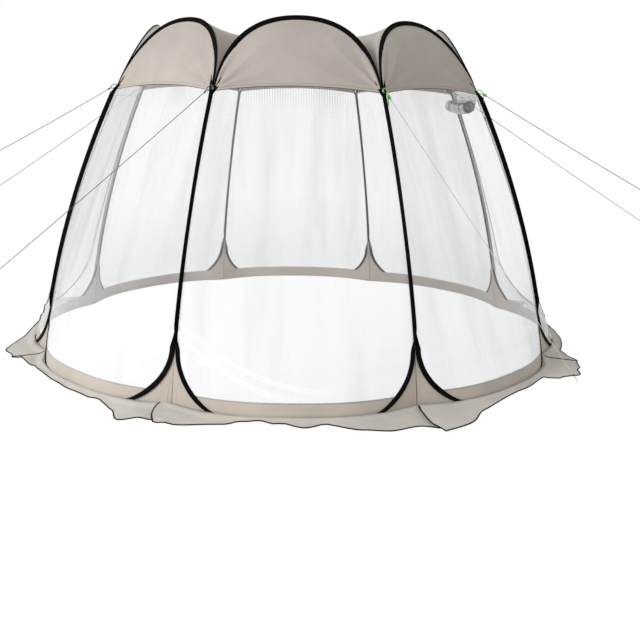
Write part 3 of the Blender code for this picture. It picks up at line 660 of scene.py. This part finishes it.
def swept(stations, sections, closed, girth=None):
    """A tube through stations of (centre, first axis, second axis), each with its section: a closed ring, or a run
    with filled ends. Its map goes along it, and across by the section's x or round by girth."""
    count, sides = len(stations), len(sections[0])
    steps = count if closed else count - 1
    length = [0.0]
    for k in range(steps):
        length.append(length[-1] + (stations[(k + 1) % count][0] - stations[k][0]).length)

    def place(a, b):
        centre, first, second = stations[round(a * steps) % count]
        x, y = sections[round(a * steps) % count][round(b * sides) % sides]
        return centre + first * x + second * y

    def chart(a, b):
        k = round(a * steps)
        return (length[k], b * girth if girth else sections[k % count][round(b * sides) % sides][0])

    mesh = sheet_mesh(steps, sides, place, chart)
    if not closed:
        ends = [edge for edge in mesh.edges if edge.is_boundary]
        bmesh.ops.holes_fill(mesh, edges=ends, sides=0)
        bmesh.ops.recalc_face_normals(mesh, faces=mesh.faces[:])
    return mesh


def ring_of(count, radius, flat=1.0):
    """Points round a circle, or round one that is flattened along y."""
    angles = [2 * pi * k / count for k in range(count)]
    return [(radius * cos(angle), radius * flat * sin(angle)) for angle in angles]


def tube_mesh(points, radius, sides, closed=False, flat=1.0, up=UP):
    """A round or flattened tube along points."""
    count = len(points)
    stations, side = [], None
    for k, point in enumerate(points):
        before = points[k - 1] if closed or k else point
        after = points[(k + 1) % count] if closed or k + 1 < count else point
        along = (after - before).normalized()
        if side is None:
            side = along.orthogonal() if abs(along.dot(up)) > 0.99 else up.cross(along)
        side = (side - along * side.dot(along)).normalized()
        stations.append((point, side, along.cross(side)))
    return swept(stations, [ring_of(sides, radius, flat)] * count, closed, 2 * pi * radius)


# -------- hoops


def sleeve_section(tail, folded):
    """Section of the folded tape: x into the panel, y outward. A folded tail is pressed flat."""
    room = POCKET - TAPE
    lip = LIP * (1 - 0.9 * folded)
    upper = [(-POCKET * cos(radians(t)), POCKET * sin(radians(t))) for t in (0, 22, 44, 66, 88, 110)]
    upper += [(0.0046, lip + TAPE + 0.0006), (tail, lip + TAPE), (tail, lip), (0.0040, lip)]
    upper += [(-room * cos(radians(t)), room * sin(radians(t))) for t in (100, 66, 33, 0)]
    return upper + [(x, -y) for x, y in reversed(upper[1:-1])]


def make_hoops():
    stations = hoop_stations()
    frames = [station[:3] for station in stations]
    sleeve = swept(frames, [sleeve_section(tail, folded) for *_, tail, folded in stations], True)
    rod = swept(frames, [ring_of(10, ROD_RADIUS)] * len(frames), True)
    tape = cloth("sleeve_tape", (0.004, 0.004, 0.0045), 0.25, 0.0009, 0.7, 0.0006, stitch=STITCH_AT, **DULL)
    wire = drawn_wire()
    for index, panel in enumerate(PANEL_NAMES):
        turn = panel_turn(index)
        piece(f"sleeve_{panel}", sleeve.copy(), tape, turn, stands_for=f"hoop_sleeve_{panel}")
        piece(f"rod_{panel}", rod.copy(), wire, turn, stands_for=f"spring_rod_{panel}")
    sleeve.free()
    rod.free()


# -------- crowns and roof

# Creases of a crown from its lower corners: (angle, depth, width as an angle)
CREASES = ((0.30, 0.014, 0.05), (0.52, -0.009, 0.05), (0.74, 0.010, 0.06), (0.98, -0.008, 0.07), (1.20, 0.009, 0.08))
CREASE_START = 0.10
CREASE_FADE = 0.34
GATHER_DEPTH = 0.0018
CROWN_STITCH = 0.016
ROOF_RIPPLE = 0.007
ROOF_PULLS = 7


def crown_lift(u, z, a, b, seed, below):
    """How far a crown's cloth stands out: fullness, creases from its lower corners, gathers below the arch. It lies
    flat at the hem and, with below the distance from the arch, inside the sleeve's tails."""
    lift = CROWN_BULGE * sin(pi * b) * cos((1 - 2 * a) * pi / 2) ** 2
    for side in (-1, 1):
        du, dz = HEM_HALF - side * u, z - HEM_END
        away = hypot(du, dz)
        angle = atan2(dz, du)
        for k, (place, depth, width) in enumerate(CREASES):
            place += 0.07 * wobble(seed * 3.7 + side, k * 2.3, away * 3)
            depth *= exp(-(((angle - place) / width) ** 2))
            lift += depth * smooth(away / CREASE_START) * exp(-away / CREASE_FADE)
    gathers = sin(a * 190 + 2 * wobble(a * 14, seed, 0)) * GATHER_DEPTH
    lift += gathers * smooth((b - 0.70) / 0.15) + 0.006 * wobble(u * 5, z * 5, seed * 9.1)
    return lift * smooth((below - 0.8 * TAIL_FREE) / 0.05) * smooth(b / 0.06)


def make_crowns():
    arch = MOUTH_LINE[KNOT : len(HOOP) - KNOT + 1]
    colour = (0.455, 0.408, 0.362)
    look = cloth("crown_cloth", colour, 0.10, 0.0009, 0.74, 0.0022, edge=(0.0045, 0.75), stitch=CROWN_STITCH)
    for index, panel in enumerate(PANEL_NAMES):

        def ends(a):
            low_u = HEM_HALF * sin((1 - 2 * a) * pi / 2)
            return (low_u, hem_height(low_u) - HEM_LAP), arch[round(a * (len(arch) - 1))]

        def place(a, b):
            (low_u, low_z), (top_u, top_z) = ends(a)
            u, z = low_u + (top_u - low_u) * b, low_z + (top_z - low_z) * b
            below = (1 - b) * hypot(top_u - low_u, top_z - low_z)
            return on_wall(u, z, 0.0012 * smooth(below / TAIL_FREE - 1) + crown_lift(u, z, a, b, index, below))

        def chart(a, b):
            low, top = ends(a)
            return (low[0] + (top[0] - low[0]) * b, b * hypot(top[0] - low[0], top[1] - low[1]))

        mesh = sheet_mesh(len(arch) - 1, 36, place, chart)
        sheet_piece(
            f"crown_cloth_{panel}", mesh, look, panel_turn(index), f"crown_{panel}", "canopy_cloth",
            flat=(2 * HEM_HALF, CROWN_HEIGHT),
        )


def make_roof():
    """Roof cloth sewn to the backs of the arches, with a valley down to each knot."""
    stations = hoop_stations()[KNOT : len(HOOP) - KNOT + 1]
    edge = []
    for index in range(PANELS):
        turn = Matrix.Rotation(panel_turn(index), 4, "Z")
        edge += [turn @ (centre - normal * BEHIND) for centre, _, normal, _, _ in reversed(stations)]
    centre = Vector((0, 0, APEX_HEIGHT - ROOF_DIP - ROOF_SAG))

    def place(a, b):
        spot = edge[round(a * len(edge)) % len(edge)]
        keep = 1 - b
        rise = keep ** (EDGE_FULLNESS if spot.z > centre.z else ROOF_FULLNESS)
        point = centre + Matrix.Diagonal((keep, keep, rise)) @ (spot - centre)
        ripple = wobble(point.x * 4, point.y * 4, 0.5) * ROOF_RIPPLE
        pull = sin(a * PANELS * 2 * pi * ROOF_PULLS) * 0.0016 * exp(-b / 0.12)
        return point + UP * ((ripple + pull) * smooth(b / 0.04) * smooth((1 - b) / 0.1))

    def chart(a, b):
        return ((a * PANELS % 1.0001 - 0.5) * (1 - b) * 0.98, b * 1.1)

    look = cloth("roof_cloth", (0.475, 0.43, 0.385), 0.10, 0.0009, 0.76, 0.0022, stitch=0.010)
    sheet_piece(
        "roof_cloth", sheet_mesh(len(edge), 30, place, chart), look, 0.0, "roof", "canopy_cloth",
        flat=ROOF_FLAT,
    )


# -------- walls

# Upright folds of the film: (depth, changes per metre across and up, shift from panel to panel)
FILM_FOLDS = ((0.0045, 8, 0.9, 5.3), (0.0018, 24, 1.7, 7.7))


def film_wave(u, z, seed):
    """Slack of the film: upright folds, and long curved ones over the foot."""
    edge = smooth((half_at(min(z, KNOT_HEIGHT)) - abs(u)) / 0.07)
    ends = smooth((z - STRIP_HEIGHT) / 0.12) * smooth((hem_height(u) - z) / 0.10)
    upright = sum(depth * wobble(u * across, z * up, seed * shift) for depth, across, up, shift in FILM_FOLDS)
    over_foot = 0.0035 * sin(z * 55 + 1.5 * wobble(u * 3, seed, 2)) * exp(-((z - 0.26) ** 2) / 0.010)
    return (upright * ends + over_foot * smooth((z - STRIP_HEIGHT) / 0.03)) * edge


def film_top(u):
    return hem_height(u) + 0.004


def film_wall(index, panel, look, columns, rows, spot, least=0.0):
    """A wall's film on a grid of spots on its panel."""

    def place(a, b):
        u, z = spot(a, b)
        return on_wall(u, z, film_wave(u, z, index))

    sheet_piece(
        f"film_{panel}", sheet_mesh(columns, rows, place, spot), look, panel_turn(index), f"clear_wall_{panel}",
        "clear_film", flat=WALL_FLAT, least=least,
    )


def make_plain_wall(index, panel, look):
    def spot(a, b):
        across = 2 * a - 1
        z = FILM_FOOT + (film_top(across * HEM_HALF) - FILM_FOOT) * b
        return across * half_at(min(z, KNOT_HEIGHT)), z

    film_wall(index, panel, look, 64, 84, spot)


def zip_line(inset):
    """The doorway's outline from the right end of the head round the sill to the left end."""
    right = side_line(DOOR_INSET + inset, DOOR_SILL + inset, DOOR_SILL_HALF, DOOR_TURN, DOOR_HEAD, 16, 20)
    sill = [(DOOR_SILL_HALF * k / 5, DOOR_SILL + inset) for k in range(-4, 5)]
    return right[::-1] + sill[::-1] + [(-u, z) for u, z in right]


def ray_to_outline(outline, centre, spot):
    """Where the line from centre through spot meets a closed outline."""
    way = Vector(spot) - centre
    best = 0.0
    for k in range(len(outline)):
        start = Vector(outline[k - 1])
        run = Vector(outline[k]) - start
        cross = way.x * run.y - way.y * run.x
        if abs(cross) < 1e-12:
            continue
        gap = start - centre
        reach = (gap.x * run.y - gap.y * run.x) / cross
        share = (gap.x * way.y - gap.y * way.x) / cross
        if -1e-6 <= share <= 1 + 1e-6:
            best = max(best, reach)
    return centre + way * best


def make_door_wall(index, panel, look):
    """Film round a doorway, from the zip out to the sleeve, the hem and the mud strip."""
    hole = zip_line(-ZIP_HALF_WIDTH)
    head = [(hole[-1][0] * (1 - 2 * k / 16), DOOR_HEAD + 0.002) for k in range(17)]
    hole = hole[1:-1] + head
    rows = [FILM_FOOT + (HEM_END - FILM_FOOT) * k / 40 for k in range(41)]
    right = [(half_at(z), z) for z in rows]
    across = [right[-1][0] * (1 - 2 * k / 24) for k in range(25)]
    outline = right + [(u, film_top(u)) for u in across] + [(-u, z) for u, z in reversed(right)]
    outer = [ray_to_outline(outline, Vector((0.0, 0.95)), spot) for spot in hole]

    def spot(a, b):
        k = round(a * len(hole)) % len(hole)
        far, near = outer[k], hole[k]
        return far[0] + (near[0] - far[0]) * b, far[1] + (near[1] - far[1]) * b

    film_wall(index, panel, look, len(hole), 10, spot, 0.31 * WALL_FLAT[0] * WALL_FLAT[1])


def mud_column(u):
    """Top of the mud wall, and height of the hoop, at a distance from the middle of a panel."""
    corner = hoop_half(TIP_HEIGHT)
    hoop = height_at(u)
    if abs(u) <= half_at(STRIP_HEIGHT, HOOP):
        return STRIP_HEIGHT, hoop
    if abs(u) <= corner:
        return hoop + GUSSET_LAP, hoop
    return TIP_HEIGHT + PEAK_ABOVE_TIP * (abs(u) - corner) / 0.06, hoop


def make_mud_wall():
    """One ring of beige cloth: a strip in each hoop below the film, and a gusset at each corner."""
    half = [u for u, _ in HOOP[: STEPS["foot"] + STEPS["corner"] + 1]]
    half += [half[-1] + (hoop_half(0) - half[-1]) * k / 6 for k in range(1, 6)]
    columns = [-u for u in reversed(half[1:])] + half
    spots = []
    for index in range(PANELS):
        turn = Matrix.Rotation(panel_turn(index), 4, "Z")
        ridge = Matrix.Rotation(panel_turn(index) + HALF_ANGLE, 4, "Z")
        spots += [(turn, u, index) for u in columns] + [(ridge, None, index)]
    tip = hoop_half(TIP_HEIGHT)
    peak = TIP_HEIGHT + PEAK_ABOVE_TIP

    def gusset(u, b, index):
        """A point of a corner's gusset, between the hoop and the ridge."""
        share = (abs(u) - tip) / (hoop_half(0) - tip)
        top = TIP_HEIGHT + GUSSET_LAP + (PEAK_ABOVE_TIP - GUSSET_LAP) * share
        z = CLOTH + (top - CLOTH) * b
        limit = hoop_half(z)
        width = min(limit, abs(u), tip + (limit - tip) * share) if limit > tip else limit
        crease = 0.004 * wobble(width * 22 + z * 18, z * 5, index * 3.1) * sin(pi * b)
        return on_wall(width * (1 if u > 0 else -1), z, -BEHIND + crease * 0.4 - 0.001)

    def strip(u, b, index):
        """A point of the strip below the film: behind the sleeve, and clear of it above."""
        top, hoop = mud_column(u)
        z = CLOTH + (top - CLOTH) * b
        clear = smooth((z - hoop - 0.010) / 0.022)
        crease = 0.0
        if z < hoop:
            crease = -0.0015 - 0.0025 * abs(wobble(u * 16, z * 14, index * 2.3)) * smooth((hoop - z) / 0.05)
        ripple = 0.0012 * wobble(u * 12, z * 4, index * 1.7) * clear
        return on_wall(u, z, -BEHIND + (BEHIND - 0.0014) * clear + crease - abs(ripple))

    def place(a, b):
        turn, u, index = spots[round(a * len(spots)) % len(spots)]
        if u is None:
            z = CLOTH + (peak - CLOTH) * b
            fold = 0.001 + 0.0015 * sin(pi * b)
            return turn @ Vector((seam_radius(z) - (BEHIND + 0.001) / cos(HALF_ANGLE) + fold, 0, z))
        return turn @ (gusset(u, b, index) if abs(u) > tip else strip(u, b, index))

    def chart(a, b):
        _, u, _ = spots[round(a * len(spots)) % len(spots)]
        return (0.70, b * MUD_FLAT[1]) if u is None else (u, b * min(mud_column(u)[0], peak))

    look = cloth("mud_wall_cloth", (0.56, 0.50, 0.43), 0.09, 0.0010, 0.74, 0.0018, seam=0.697)
    sheet_piece(
        "mud_wall_cloth", sheet_mesh(len(spots), 16, place, chart), look, 0.0, "mud_wall", "skirt_cloth",
        flat=MUD_FLAT,
    )


# Where a flap's edge is seen: (distance from the panel's middle, reach over level ground beyond the wall)
FLAP_EDGES = {
    "front": ((-0.95, 0.27), (-0.76, 0.283), (-0.40, 0.264), (-0.20, 0.168), (-0.11, 0.232), (0.04, 0.322),
              (0.15, 0.265), (0.36, 0.338), (0.47, 0.344), (0.68, 0.272), (0.79, 0.30), (0.90, 0.30)),
    "front_right": ((-0.95, 0.30), (-0.84, 0.34), (-0.66, 0.354), (-0.44, 0.284), (-0.18, 0.263), (0.06, 0.237),
                    (0.26, 0.211), (0.37, 0.314), (0.49, 0.371), (0.62, 0.304), (0.80, 0.22)),
    "front_left": ((-0.80, 0.20), (-0.72, 0.12), (-0.50, 0.177), (-0.40, 0.157), (-0.33, 0.137), (0.0, 0.235),
                   (0.25, 0.246), (0.32, 0.219), (0.50, 0.27), (0.62, 0.33), (0.74, 0.21), (0.86, 0.19)),
    "left": ((-0.90, 0.30), (-0.64, 0.39), (-0.30, 0.32), (-0.10, 0.282), (0.30, 0.265), (0.60, 0.29), (0.80, 0.20)),
    "right": ((-0.80, 0.22), (-0.70, 0.18), (-0.52, 0.16), (-0.36, 0.05), (0.0, 0.03), (0.40, 0.10), (0.84, 0.26)),
}
# How far a flap's loose left end lies over the next flap, at its sewn edge and at its free one
FLAP_OVERLAPS = {"front": (0.09, -0.05), "front_right": (0.0, 0.07)}
SIDE_FLAPS = ("left", "right")


def flap_edge(panel, index, u):
    """Reach of a flap's edge beyond the straight wall, and its height over the ground, at a place along its seam."""
    u *= EDGE_SPREAD
    points = FLAP_EDGES.get(panel)
    if points is None:
        wave, small = (0.5 - 0.5 * cos(2 * pi * (rate * u + shift * index)) for rate, shift in UNSEEN_WAVES)
        seen = SKIRT_WIDTH - 0.065 * wave - 0.035 * small
    else:
        seen = points[0][1] if u < points[0][0] else points[-1][1]
        for (u0, r0), (u1, r1) in zip(points, points[1:]):
            if u0 <= u <= u1:
                seen = r0 + (r1 - r0) * smooth((u - u0) / (u1 - u0))
    if panel in SIDE_FLAPS:
        return seen, 0.006 + 0.05 * max(0.0, 0.24 - seen)
    reach = seen + 0.5 * max(0.0, SKIRT_LEVEL - seen) * smooth((0.80 - abs(u)) / 0.12)
    return reach, 0.005 + (reach - seen) / SIGHT_FALL


def make_skirt():
    """Eight beige flaps that lie in waves on the ground, each bound in black."""
    look = cloth("skirt_cloth", (0.605, 0.575, 0.515), 0.09, 0.0010, 0.76, 0.0022, stitch=0.006)
    bound = cloth("skirt_binding", (0.004,) * 3, 0.2, 0.0008, 0.7, 0.0003, **DULL)
    half = wall_distance(SKIRT_SEW) * tan(HALF_ANGLE) - MITRE_GAP / 2
    lift = POCKET + 0.0012
    columns, rows = 110, 14
    for index, panel in enumerate(PANEL_NAMES):
        sewn_end, free_end = FLAP_OVERLAPS.get(panel, (0.0, 0.0))

        def place(a, b):
            across = 2 * a - 1
            loose = smooth((0.16 - a) / 0.16) * (free_end != 0)
            u = half * across - sewn_end * loose
            ease = smooth((abs(u) - half_at(SKIRT_SEW + 0.008, HOOP)) / 0.03)
            inner = on_wall(u, SKIRT_SEW, lift + (-POCKET + 0.0018 - lift) * ease * (1 - loose))
            if b == 0:
                return inner
            reach, rise = flap_edge(panel, index, u)
            width = max(wall_distance(0) + reach - inner.x, SKIRT_LEAST)
            out = inner.x + width * b
            past = sewn_end + (free_end - sewn_end) * b + 0.03 * sin(pi * b)
            wide = (out * tan(HALF_ANGLE) - MITRE_GAP / 2) * across - past * loose
            fall = (SKIRT_SEW - FLAP_LOW) * (1 - smooth(b * width / 0.05))
            swell = (rise - FLAP_LOW) * smooth((b - 0.15) / 0.85)
            fold = 0.014 * wobble(u * 7 + index * 4, b * 1.6, index * 1.9)
            crumple = abs(fold) * smooth(b / 0.3) + 0.003 * abs(wobble(u * 30, b * 5, index))
            sewn = abs(across) * (1 - loose)
            z = FLAP_LOW + fall + swell * (1 - sewn**12) + crumple * (1 - sewn**2) ** 2 + 0.014 * loose
            return Vector((out, wide, z))

        def binding():
            rim = [place(0, b / rows) for b in range(1, rows)]
            rim += [place(a / columns, 1) for a in range(columns + 1)]
            rim += [place(1, b / rows) for b in range(rows - 1, 0, -1)]
            mesh = tube_mesh(rim, BINDING_RADIUS, 8)
            return [piece(f"skirt_binding_{panel}", mesh, bound, panel_turn(index))]

        mesh = sheet_mesh(columns, rows, place, lambda a, b: (half * (2 * a - 1), b * 0.30))
        sheet_piece(
            f"skirt_{panel}", mesh, look, panel_turn(index), f"skirt_flap_{panel}", "skirt_cloth",
            flat=FLAP_FLAT, least=0.18, extras=binding,
        )


# -------- doorways


def make_zip(index, panel, look):
    """Zip from one end of the head round the sill to the other: a tape with a coil ridge."""
    line = zip_line(0.0)
    centres = [on_wall(u, z) for u, z in line]
    stations = []
    for k, (u, z) in enumerate(line):
        along = centres[min(len(line) - 1, k + 1)] - centres[max(0, k - 1)]
        inward = level_normal(u, z).cross(along).normalized()
        stations.append((centres[k], inward, along.cross(inward).normalized()))
    left = [(-ZIP_HALF_WIDTH, 0.0004), (-COIL_HALF_WIDTH, 0.0006), (-0.0030, 0.0013)]
    upper = left + [(0.0, 0.0018)] + [(-x, y) for x, y in reversed(left)]
    section = upper + [(x, -y) for x, y in reversed(upper)]
    mesh = swept(stations, [section] * len(stations), False)
    piece(f"zip_{panel}", mesh, look, panel_turn(index), "shelter", f"door_zip_{panel}")


def make_left_door(look):
    """The closed door's film, from the sill up to its top edge."""
    inset, sill = DOOR_INSET + ZIP_HALF_WIDTH, DOOR_SILL + ZIP_HALF_WIDTH
    rows = side_line(inset, sill, DOOR_SILL_HALF, DOOR_TURN, DOOR_HEAD, 16, 44)

    def spot(a, b):
        half, z = rows[round(b * (len(rows) - 1))]
        return half * (2 * a - 1), z

    def place(a, b):
        u, z = spot(a, b)
        half = rows[round(b * (len(rows) - 1))][0]
        inner = smooth((half - abs(u)) / 0.06) * smooth((z - DOOR_SILL) / 0.1) * smooth((DOOR_HEAD - z) / 0.1)
        return on_wall(u, z, 0.004 * wobble(u * 9, z * 0.9, 41.0) * inner)

    mesh = sheet_mesh(48, len(rows) - 1, place, spot)
    sheet_piece(
        "left_door_film", mesh, look, panel_turn(PANEL_NAMES.index("left")), "door_leaf_left", "clear_film",
        flat=LEAF_FLAT, body="left_door",
    )


def make_rolled_door(look, tie_look):
    """The open door's film, rolled up under the head, and two ties round it."""
    turn = panel_turn(PANEL_NAMES.index("right"))
    steps = round(ROLL_TURNS * ROLL_STEPS)
    half = seam_half(DOOR_HEAD) - DOOR_INSET - ROLL_END_MARGIN
    head = on_wall(0, DOOR_HEAD)
    centre = head - Vector((ROLL_RADIUS, 0, ROLL_RADIUS))

    def place(a, b):
        across = 2 * a - 1
        y = half * across
        angle = -2 * pi * (steps - b * steps) / ROLL_STEPS
        sag = 0.010 * (1 - across**2)
        squeeze = 1 - 0.12 * exp(-(((abs(across) - TIE_AT) / 0.05) ** 2))
        radius = (ROLL_CORE + (ROLL_RADIUS - ROLL_CORE) * b) * squeeze
        radius *= 1 + 0.05 * wobble(y * 18, angle * 0.5, 3.0)
        point = centre + Vector((radius * cos(angle), y, radius * sin(angle) - sag))
        return point + (Vector((head.x, y, head.z)) - point) * smooth((b - 0.93) / 0.07)

    def ties():
        made = []
        for name, side in (("left", -1), ("right", 1)):
            round_roll = ring_of(40, 0.9 * ROLL_RADIUS + 0.002)
            ring = [centre + Vector((x, half * TIE_AT * side, z - 0.007)) for x, z in round_roll]
            mesh = tube_mesh(ring, 0.006, 8, closed=True, flat=0.16, up=Vector((1, 0, 0)))
            made.append(piece(f"roll_tie_{name}", mesh, tie_look, turn))
        return made

    mesh = sheet_mesh(56, steps, place, lambda a, b: (half * (2 * a - 1), b * 1.5))
    sheet_piece(
        "rolled_door_film", mesh, look, turn, "rolled_door_right", "clear_film",
        flat=(2 * half, ROLL_LENGTH), extras=ties,
    )


# -------- guy ropes


def knot_direction(corner):
    azimuth = panel_turn(corner) + HALF_ANGLE
    return Vector((cos(azimuth), sin(azimuth), 0))


def sleeves_outside(side):
    """How far the two sleeves at a seam reach outside the seam line, at this distance to its side."""
    ends = []
    for x, y in ((-POCKET, POCKET - TAPE), (POCKET - TAPE, POCKET)):
        aside = x * cos(HALF_ANGLE) + y * sin(HALF_ANGLE)
        outward = y * cos(HALF_ANGLE) - x * sin(HALF_ANGLE)
        ends.append((aside + seam_offset(), outward - seam_offset() * tan(HALF_ANGLE)))
    near, far = ends
    slope = (far[1] - near[1]) / (far[0] - near[0])
    return min(near[1] + (side - near[0]) * slope, far[1] - (side - far[0]) * tan(HALF_ANGLE))


def loop_corners(start, along, side, sides=8):
    """Points on the outer and inner edges of a webbing loop."""
    over = along.cross(side)
    for shrink, lift in ((0, -0.5), (0, 0.5), (LOOP_BAND, 0.5), (LOOP_BAND, -0.5)):
        length, width = LOOP_LENGTH / 2 - shrink, LOOP_WIDTH / 2 - shrink
        for x, y in ring_of(sides, 1.0):
            yield start + along * (LOOP_LENGTH / 2 + length * x) + over * (width * y) + side * (LOOP_THICK * lift)


def rope_start(corner, target):
    """Where a loop starts, clear of its corner's sleeves, the way to the rope's far end, and the side direction."""
    radial = knot_direction(corner)
    start = radial * KNOT_RADIUS + UP * KNOT_HEIGHT
    along = (target - start).normalized()
    side = UP.cross(along).normalized()
    tangent = Vector((-radial.y, radial.x, 0))
    push = 0.0
    for spot in loop_corners(start, along, side):
        face = seam_radius(spot.z) + sleeves_outside(abs(spot.dot(tangent)))
        push = max(push, face + SEAM_GAP - spot.dot(radial))
    start += radial * push
    along = (target - start).normalized()
    return start, along, UP.cross(along).normalized()


def rope_route(start, target, along, side):
    """The rope's centre line: nearly straight with a slight sag, then a long eye that ends at the target."""
    throat = target - along * EYE_LENGTH
    run = throat - start
    down = along.cross(side)
    count = ceil(run.length / ROPE_STEP)
    route = []
    for k in range(count + 1):
        share = k / count
        route.append(start + run * share - down * (4 * ROPE_SAG * share * (1 - share)))
    width = EYE_HALF_WIDTH / EYE_FULLEST
    close = 0.0
    while 2 * width * sin(close) * sin(close / 2) ** 2 < ROPE_DIAMETER + SEAM_GAP:
        close += 0.01
    for k in range(1, EYE_POINTS):
        angle = (2 * pi - close) * k / (EYE_POINTS - 1)
        out = EYE_LENGTH * (1 - cos(angle)) / 2
        route.append(throat + along * out + side * (width * sin(angle) * sin(angle / 2) ** 2))
    return route


def webbing_loop(start, along, side):
    """A flat webbing loop on edge, its band thinner than it is wide."""
    over = along.cross(side)
    middle = start + along * (LOOP_LENGTH / 2)
    length, width = (LOOP_LENGTH - LOOP_BAND) / 2, (LOOP_WIDTH - LOOP_BAND) / 2
    ring = [middle + along * (length * x) + over * (width * y) for x, y in ring_of(36, 1.0)]
    return tube_mesh(ring, LOOP_BAND / 2, 10, closed=True, flat=LOOP_THICK / LOOP_BAND, up=side)


def winding(start, along, side, turns, radius, thick):
    """A cord wound round the start of a rope, as one coil."""
    over = along.cross(side)
    points = []
    for k in range(turns * WINDING_STEPS + 1):
        angle = 2 * pi * k / WINDING_STEPS
        ahead = along * (k / WINDING_STEPS * thick * 2.05)
        points.append(start + ahead + side * (radius * cos(angle)) + over * (radius * sin(angle)))
    return tube_mesh(points, thick, 8, up=over)


def make_tie_tails(name, leave, along, side, look):
    """Two loose ends that hang from a flat tie's knot."""
    for number, way, sideways, drop in ((1, 1, 0.012, 0.055), (2, -1, -0.010, 0.045)):
        tail = []
        for step in range(9):
            s = step / 8
            out = side * (0.006 + sideways * s * (1.2 - s)) * way
            tail.append(leave + out - UP * (drop * s) + along * (0.012 * s))
        mesh = tube_mesh(tail, 0.0075, 8, flat=0.25, up=along.cross(side))
        piece(f"tie_tail_{name}_{number}", mesh, look)


def make_ropes():
    looks = {name: cord_finish(name, *colours) for name, colours in CORD_COLOURS.items()}
    for name, (corner, run, tie_name, cord_name) in ROPES.items():
        tied = tie_name == "green_tie"
        target = knot_direction(corner) * KNOT_RADIUS + Vector(run)
        start, along, side = rope_start(corner, target)
        loop = webbing_loop(start, along, side)
        piece(f"loop_{name}", loop, looks[tie_name], stands_for=f"guy_loop_{name}")
        leave = start + along * (LOOP_LENGTH + SEAM_GAP)
        route = rope_route(leave, target, along, side)
        mesh = tube_mesh(route, ROPE_DIAMETER / 2, 10)
        rope = piece(f"rope_{name}", mesh, looks[cord_name], stands_for=f"guy_rope_{name}")
        mesh = winding(leave + along * 0.004, along, side, 4, *(TIE_WINDING if tied else CORD_WINDING))
        knot = piece(f"rope_knot_{name}", mesh, looks[tie_name])
        mesh = winding(target - along * (EYE_LENGTH + 0.010), along, side, 3, 0.0040, 0.0018)
        seizing = piece(f"rope_end_knot_{name}", mesh, looks["black_cord"])
        if tied:
            make_tie_tails(name, leave, along, side, looks[tie_name])


# -------- scene


def make_camera():
    data = bpy.data.cameras.new("photo_camera")
    data.lens = CAMERA_LENS
    data.sensor_width = 36.0
    camera = shown("photo_camera", data)
    yaw = Matrix.Rotation(radians(CAMERA_YAW), 4, "Z")
    pitch = Matrix.Rotation(radians(90 - CAMERA_DOWN), 4, "X")
    roll = Matrix.Rotation(radians(CAMERA_ROLL), 4, "Z")
    camera.matrix_world = Matrix.Translation(CAMERA_AT) @ yaw @ pitch @ roll
    bpy.context.scene.camera = camera


def seen_through(tree, *rays):
    """1 for the camera's rays and those of these kinds, else 0."""
    path = node(tree, "LightPath")
    seen = path.outputs["Is Camera Ray"]
    for ray in rays:
        seen = sums("MAXIMUM", seen, path.outputs[ray])
    return seen


def make_floor():
    """White floor just below the ground, nearly shadowless to the camera."""
    mesh = bmesh.new()
    bmesh.ops.create_grid(mesh, x_segments=1, y_segments=1, size=60.0)
    mesh.transform(Matrix.Translation((0, 0, -0.001)))
    made, tree = finish("pale_floor", (0.95,) * 3, 0.9, Specular_IOR_Level=0.1)
    shown("floor", mesh_data("floor", mesh, made))
    glow = node(tree, "Emission", {"Color": WHITE, "Strength": 1.04})
    share = times(seen_through(tree, "Is Transmission Ray"), 0.90)
    mixed(share, tree.nodes["Principled BSDF"], glow)


def make_light():
    """White surroundings to look at, softer ones to light by, and one large lamp at the front left."""
    world = bpy.data.worlds.new("studio")
    world.use_nodes = True
    bpy.context.scene.world = world
    tree = world.node_tree
    soft = tree.nodes["Background"]
    soft.inputs["Color"].default_value = WHITE
    soft.inputs["Strength"].default_value = 0.60
    white = node(tree, "Background", {"Color": WHITE, "Strength": 1.0})
    mixed(seen_through(tree, "Is Glossy Ray", "Is Transmission Ray"), soft, white, "World Output")
    data = bpy.data.lights.new("key", "AREA")
    data.shape = "DISK"
    data.size = 4.0
    data.energy = 400.0
    lamp = shown("key", data)
    lamp.location = LAMP_AT
    lamp.rotation_euler = (LAMP_AIM - LAMP_AT).to_track_quat("-Z", "Y").to_euler()


def paint_sliders():
    look = painted_metal()
    for panel in DOOR_PANELS:
        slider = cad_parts[f"zip_slider_{panel}"]
        slider.data.materials.clear()
        slider.data.materials.append(look)


def build():
    make_camera()
    make_ropes()
    make_floor()
    make_light()
    bpy.context.scene.view_settings.view_transform = "Standard"
    make_hoops()
    make_crowns()
    make_roof()
    film = clear_film("clear_film")
    # The front wall's film carries the two curved bands of painted reflection.
    reflection_banded = clear_film("reflection_banded_film", reflection_banded=True)
    for index, panel in enumerate(PANEL_NAMES):
        if panel in DOOR_PANELS:
            make_door_wall(index, panel, film)
        else:
            make_plain_wall(index, panel, reflection_banded if panel == "front" else film)
    make_mud_wall()
    make_skirt()
    zip_look = zip_finish()
    for panel in DOOR_PANELS:
        make_zip(PANEL_NAMES.index(panel), panel, zip_look)
    make_left_door(film)
    rolled = clear_film("rolled_film", 0.5, 0.25, (0.52, 0.55, 0.60))
    make_rolled_door(rolled, cord_finish("roll_tie_cord", (0.015,) * 3, (0.05,) * 3))
    paint_sliders()


build()
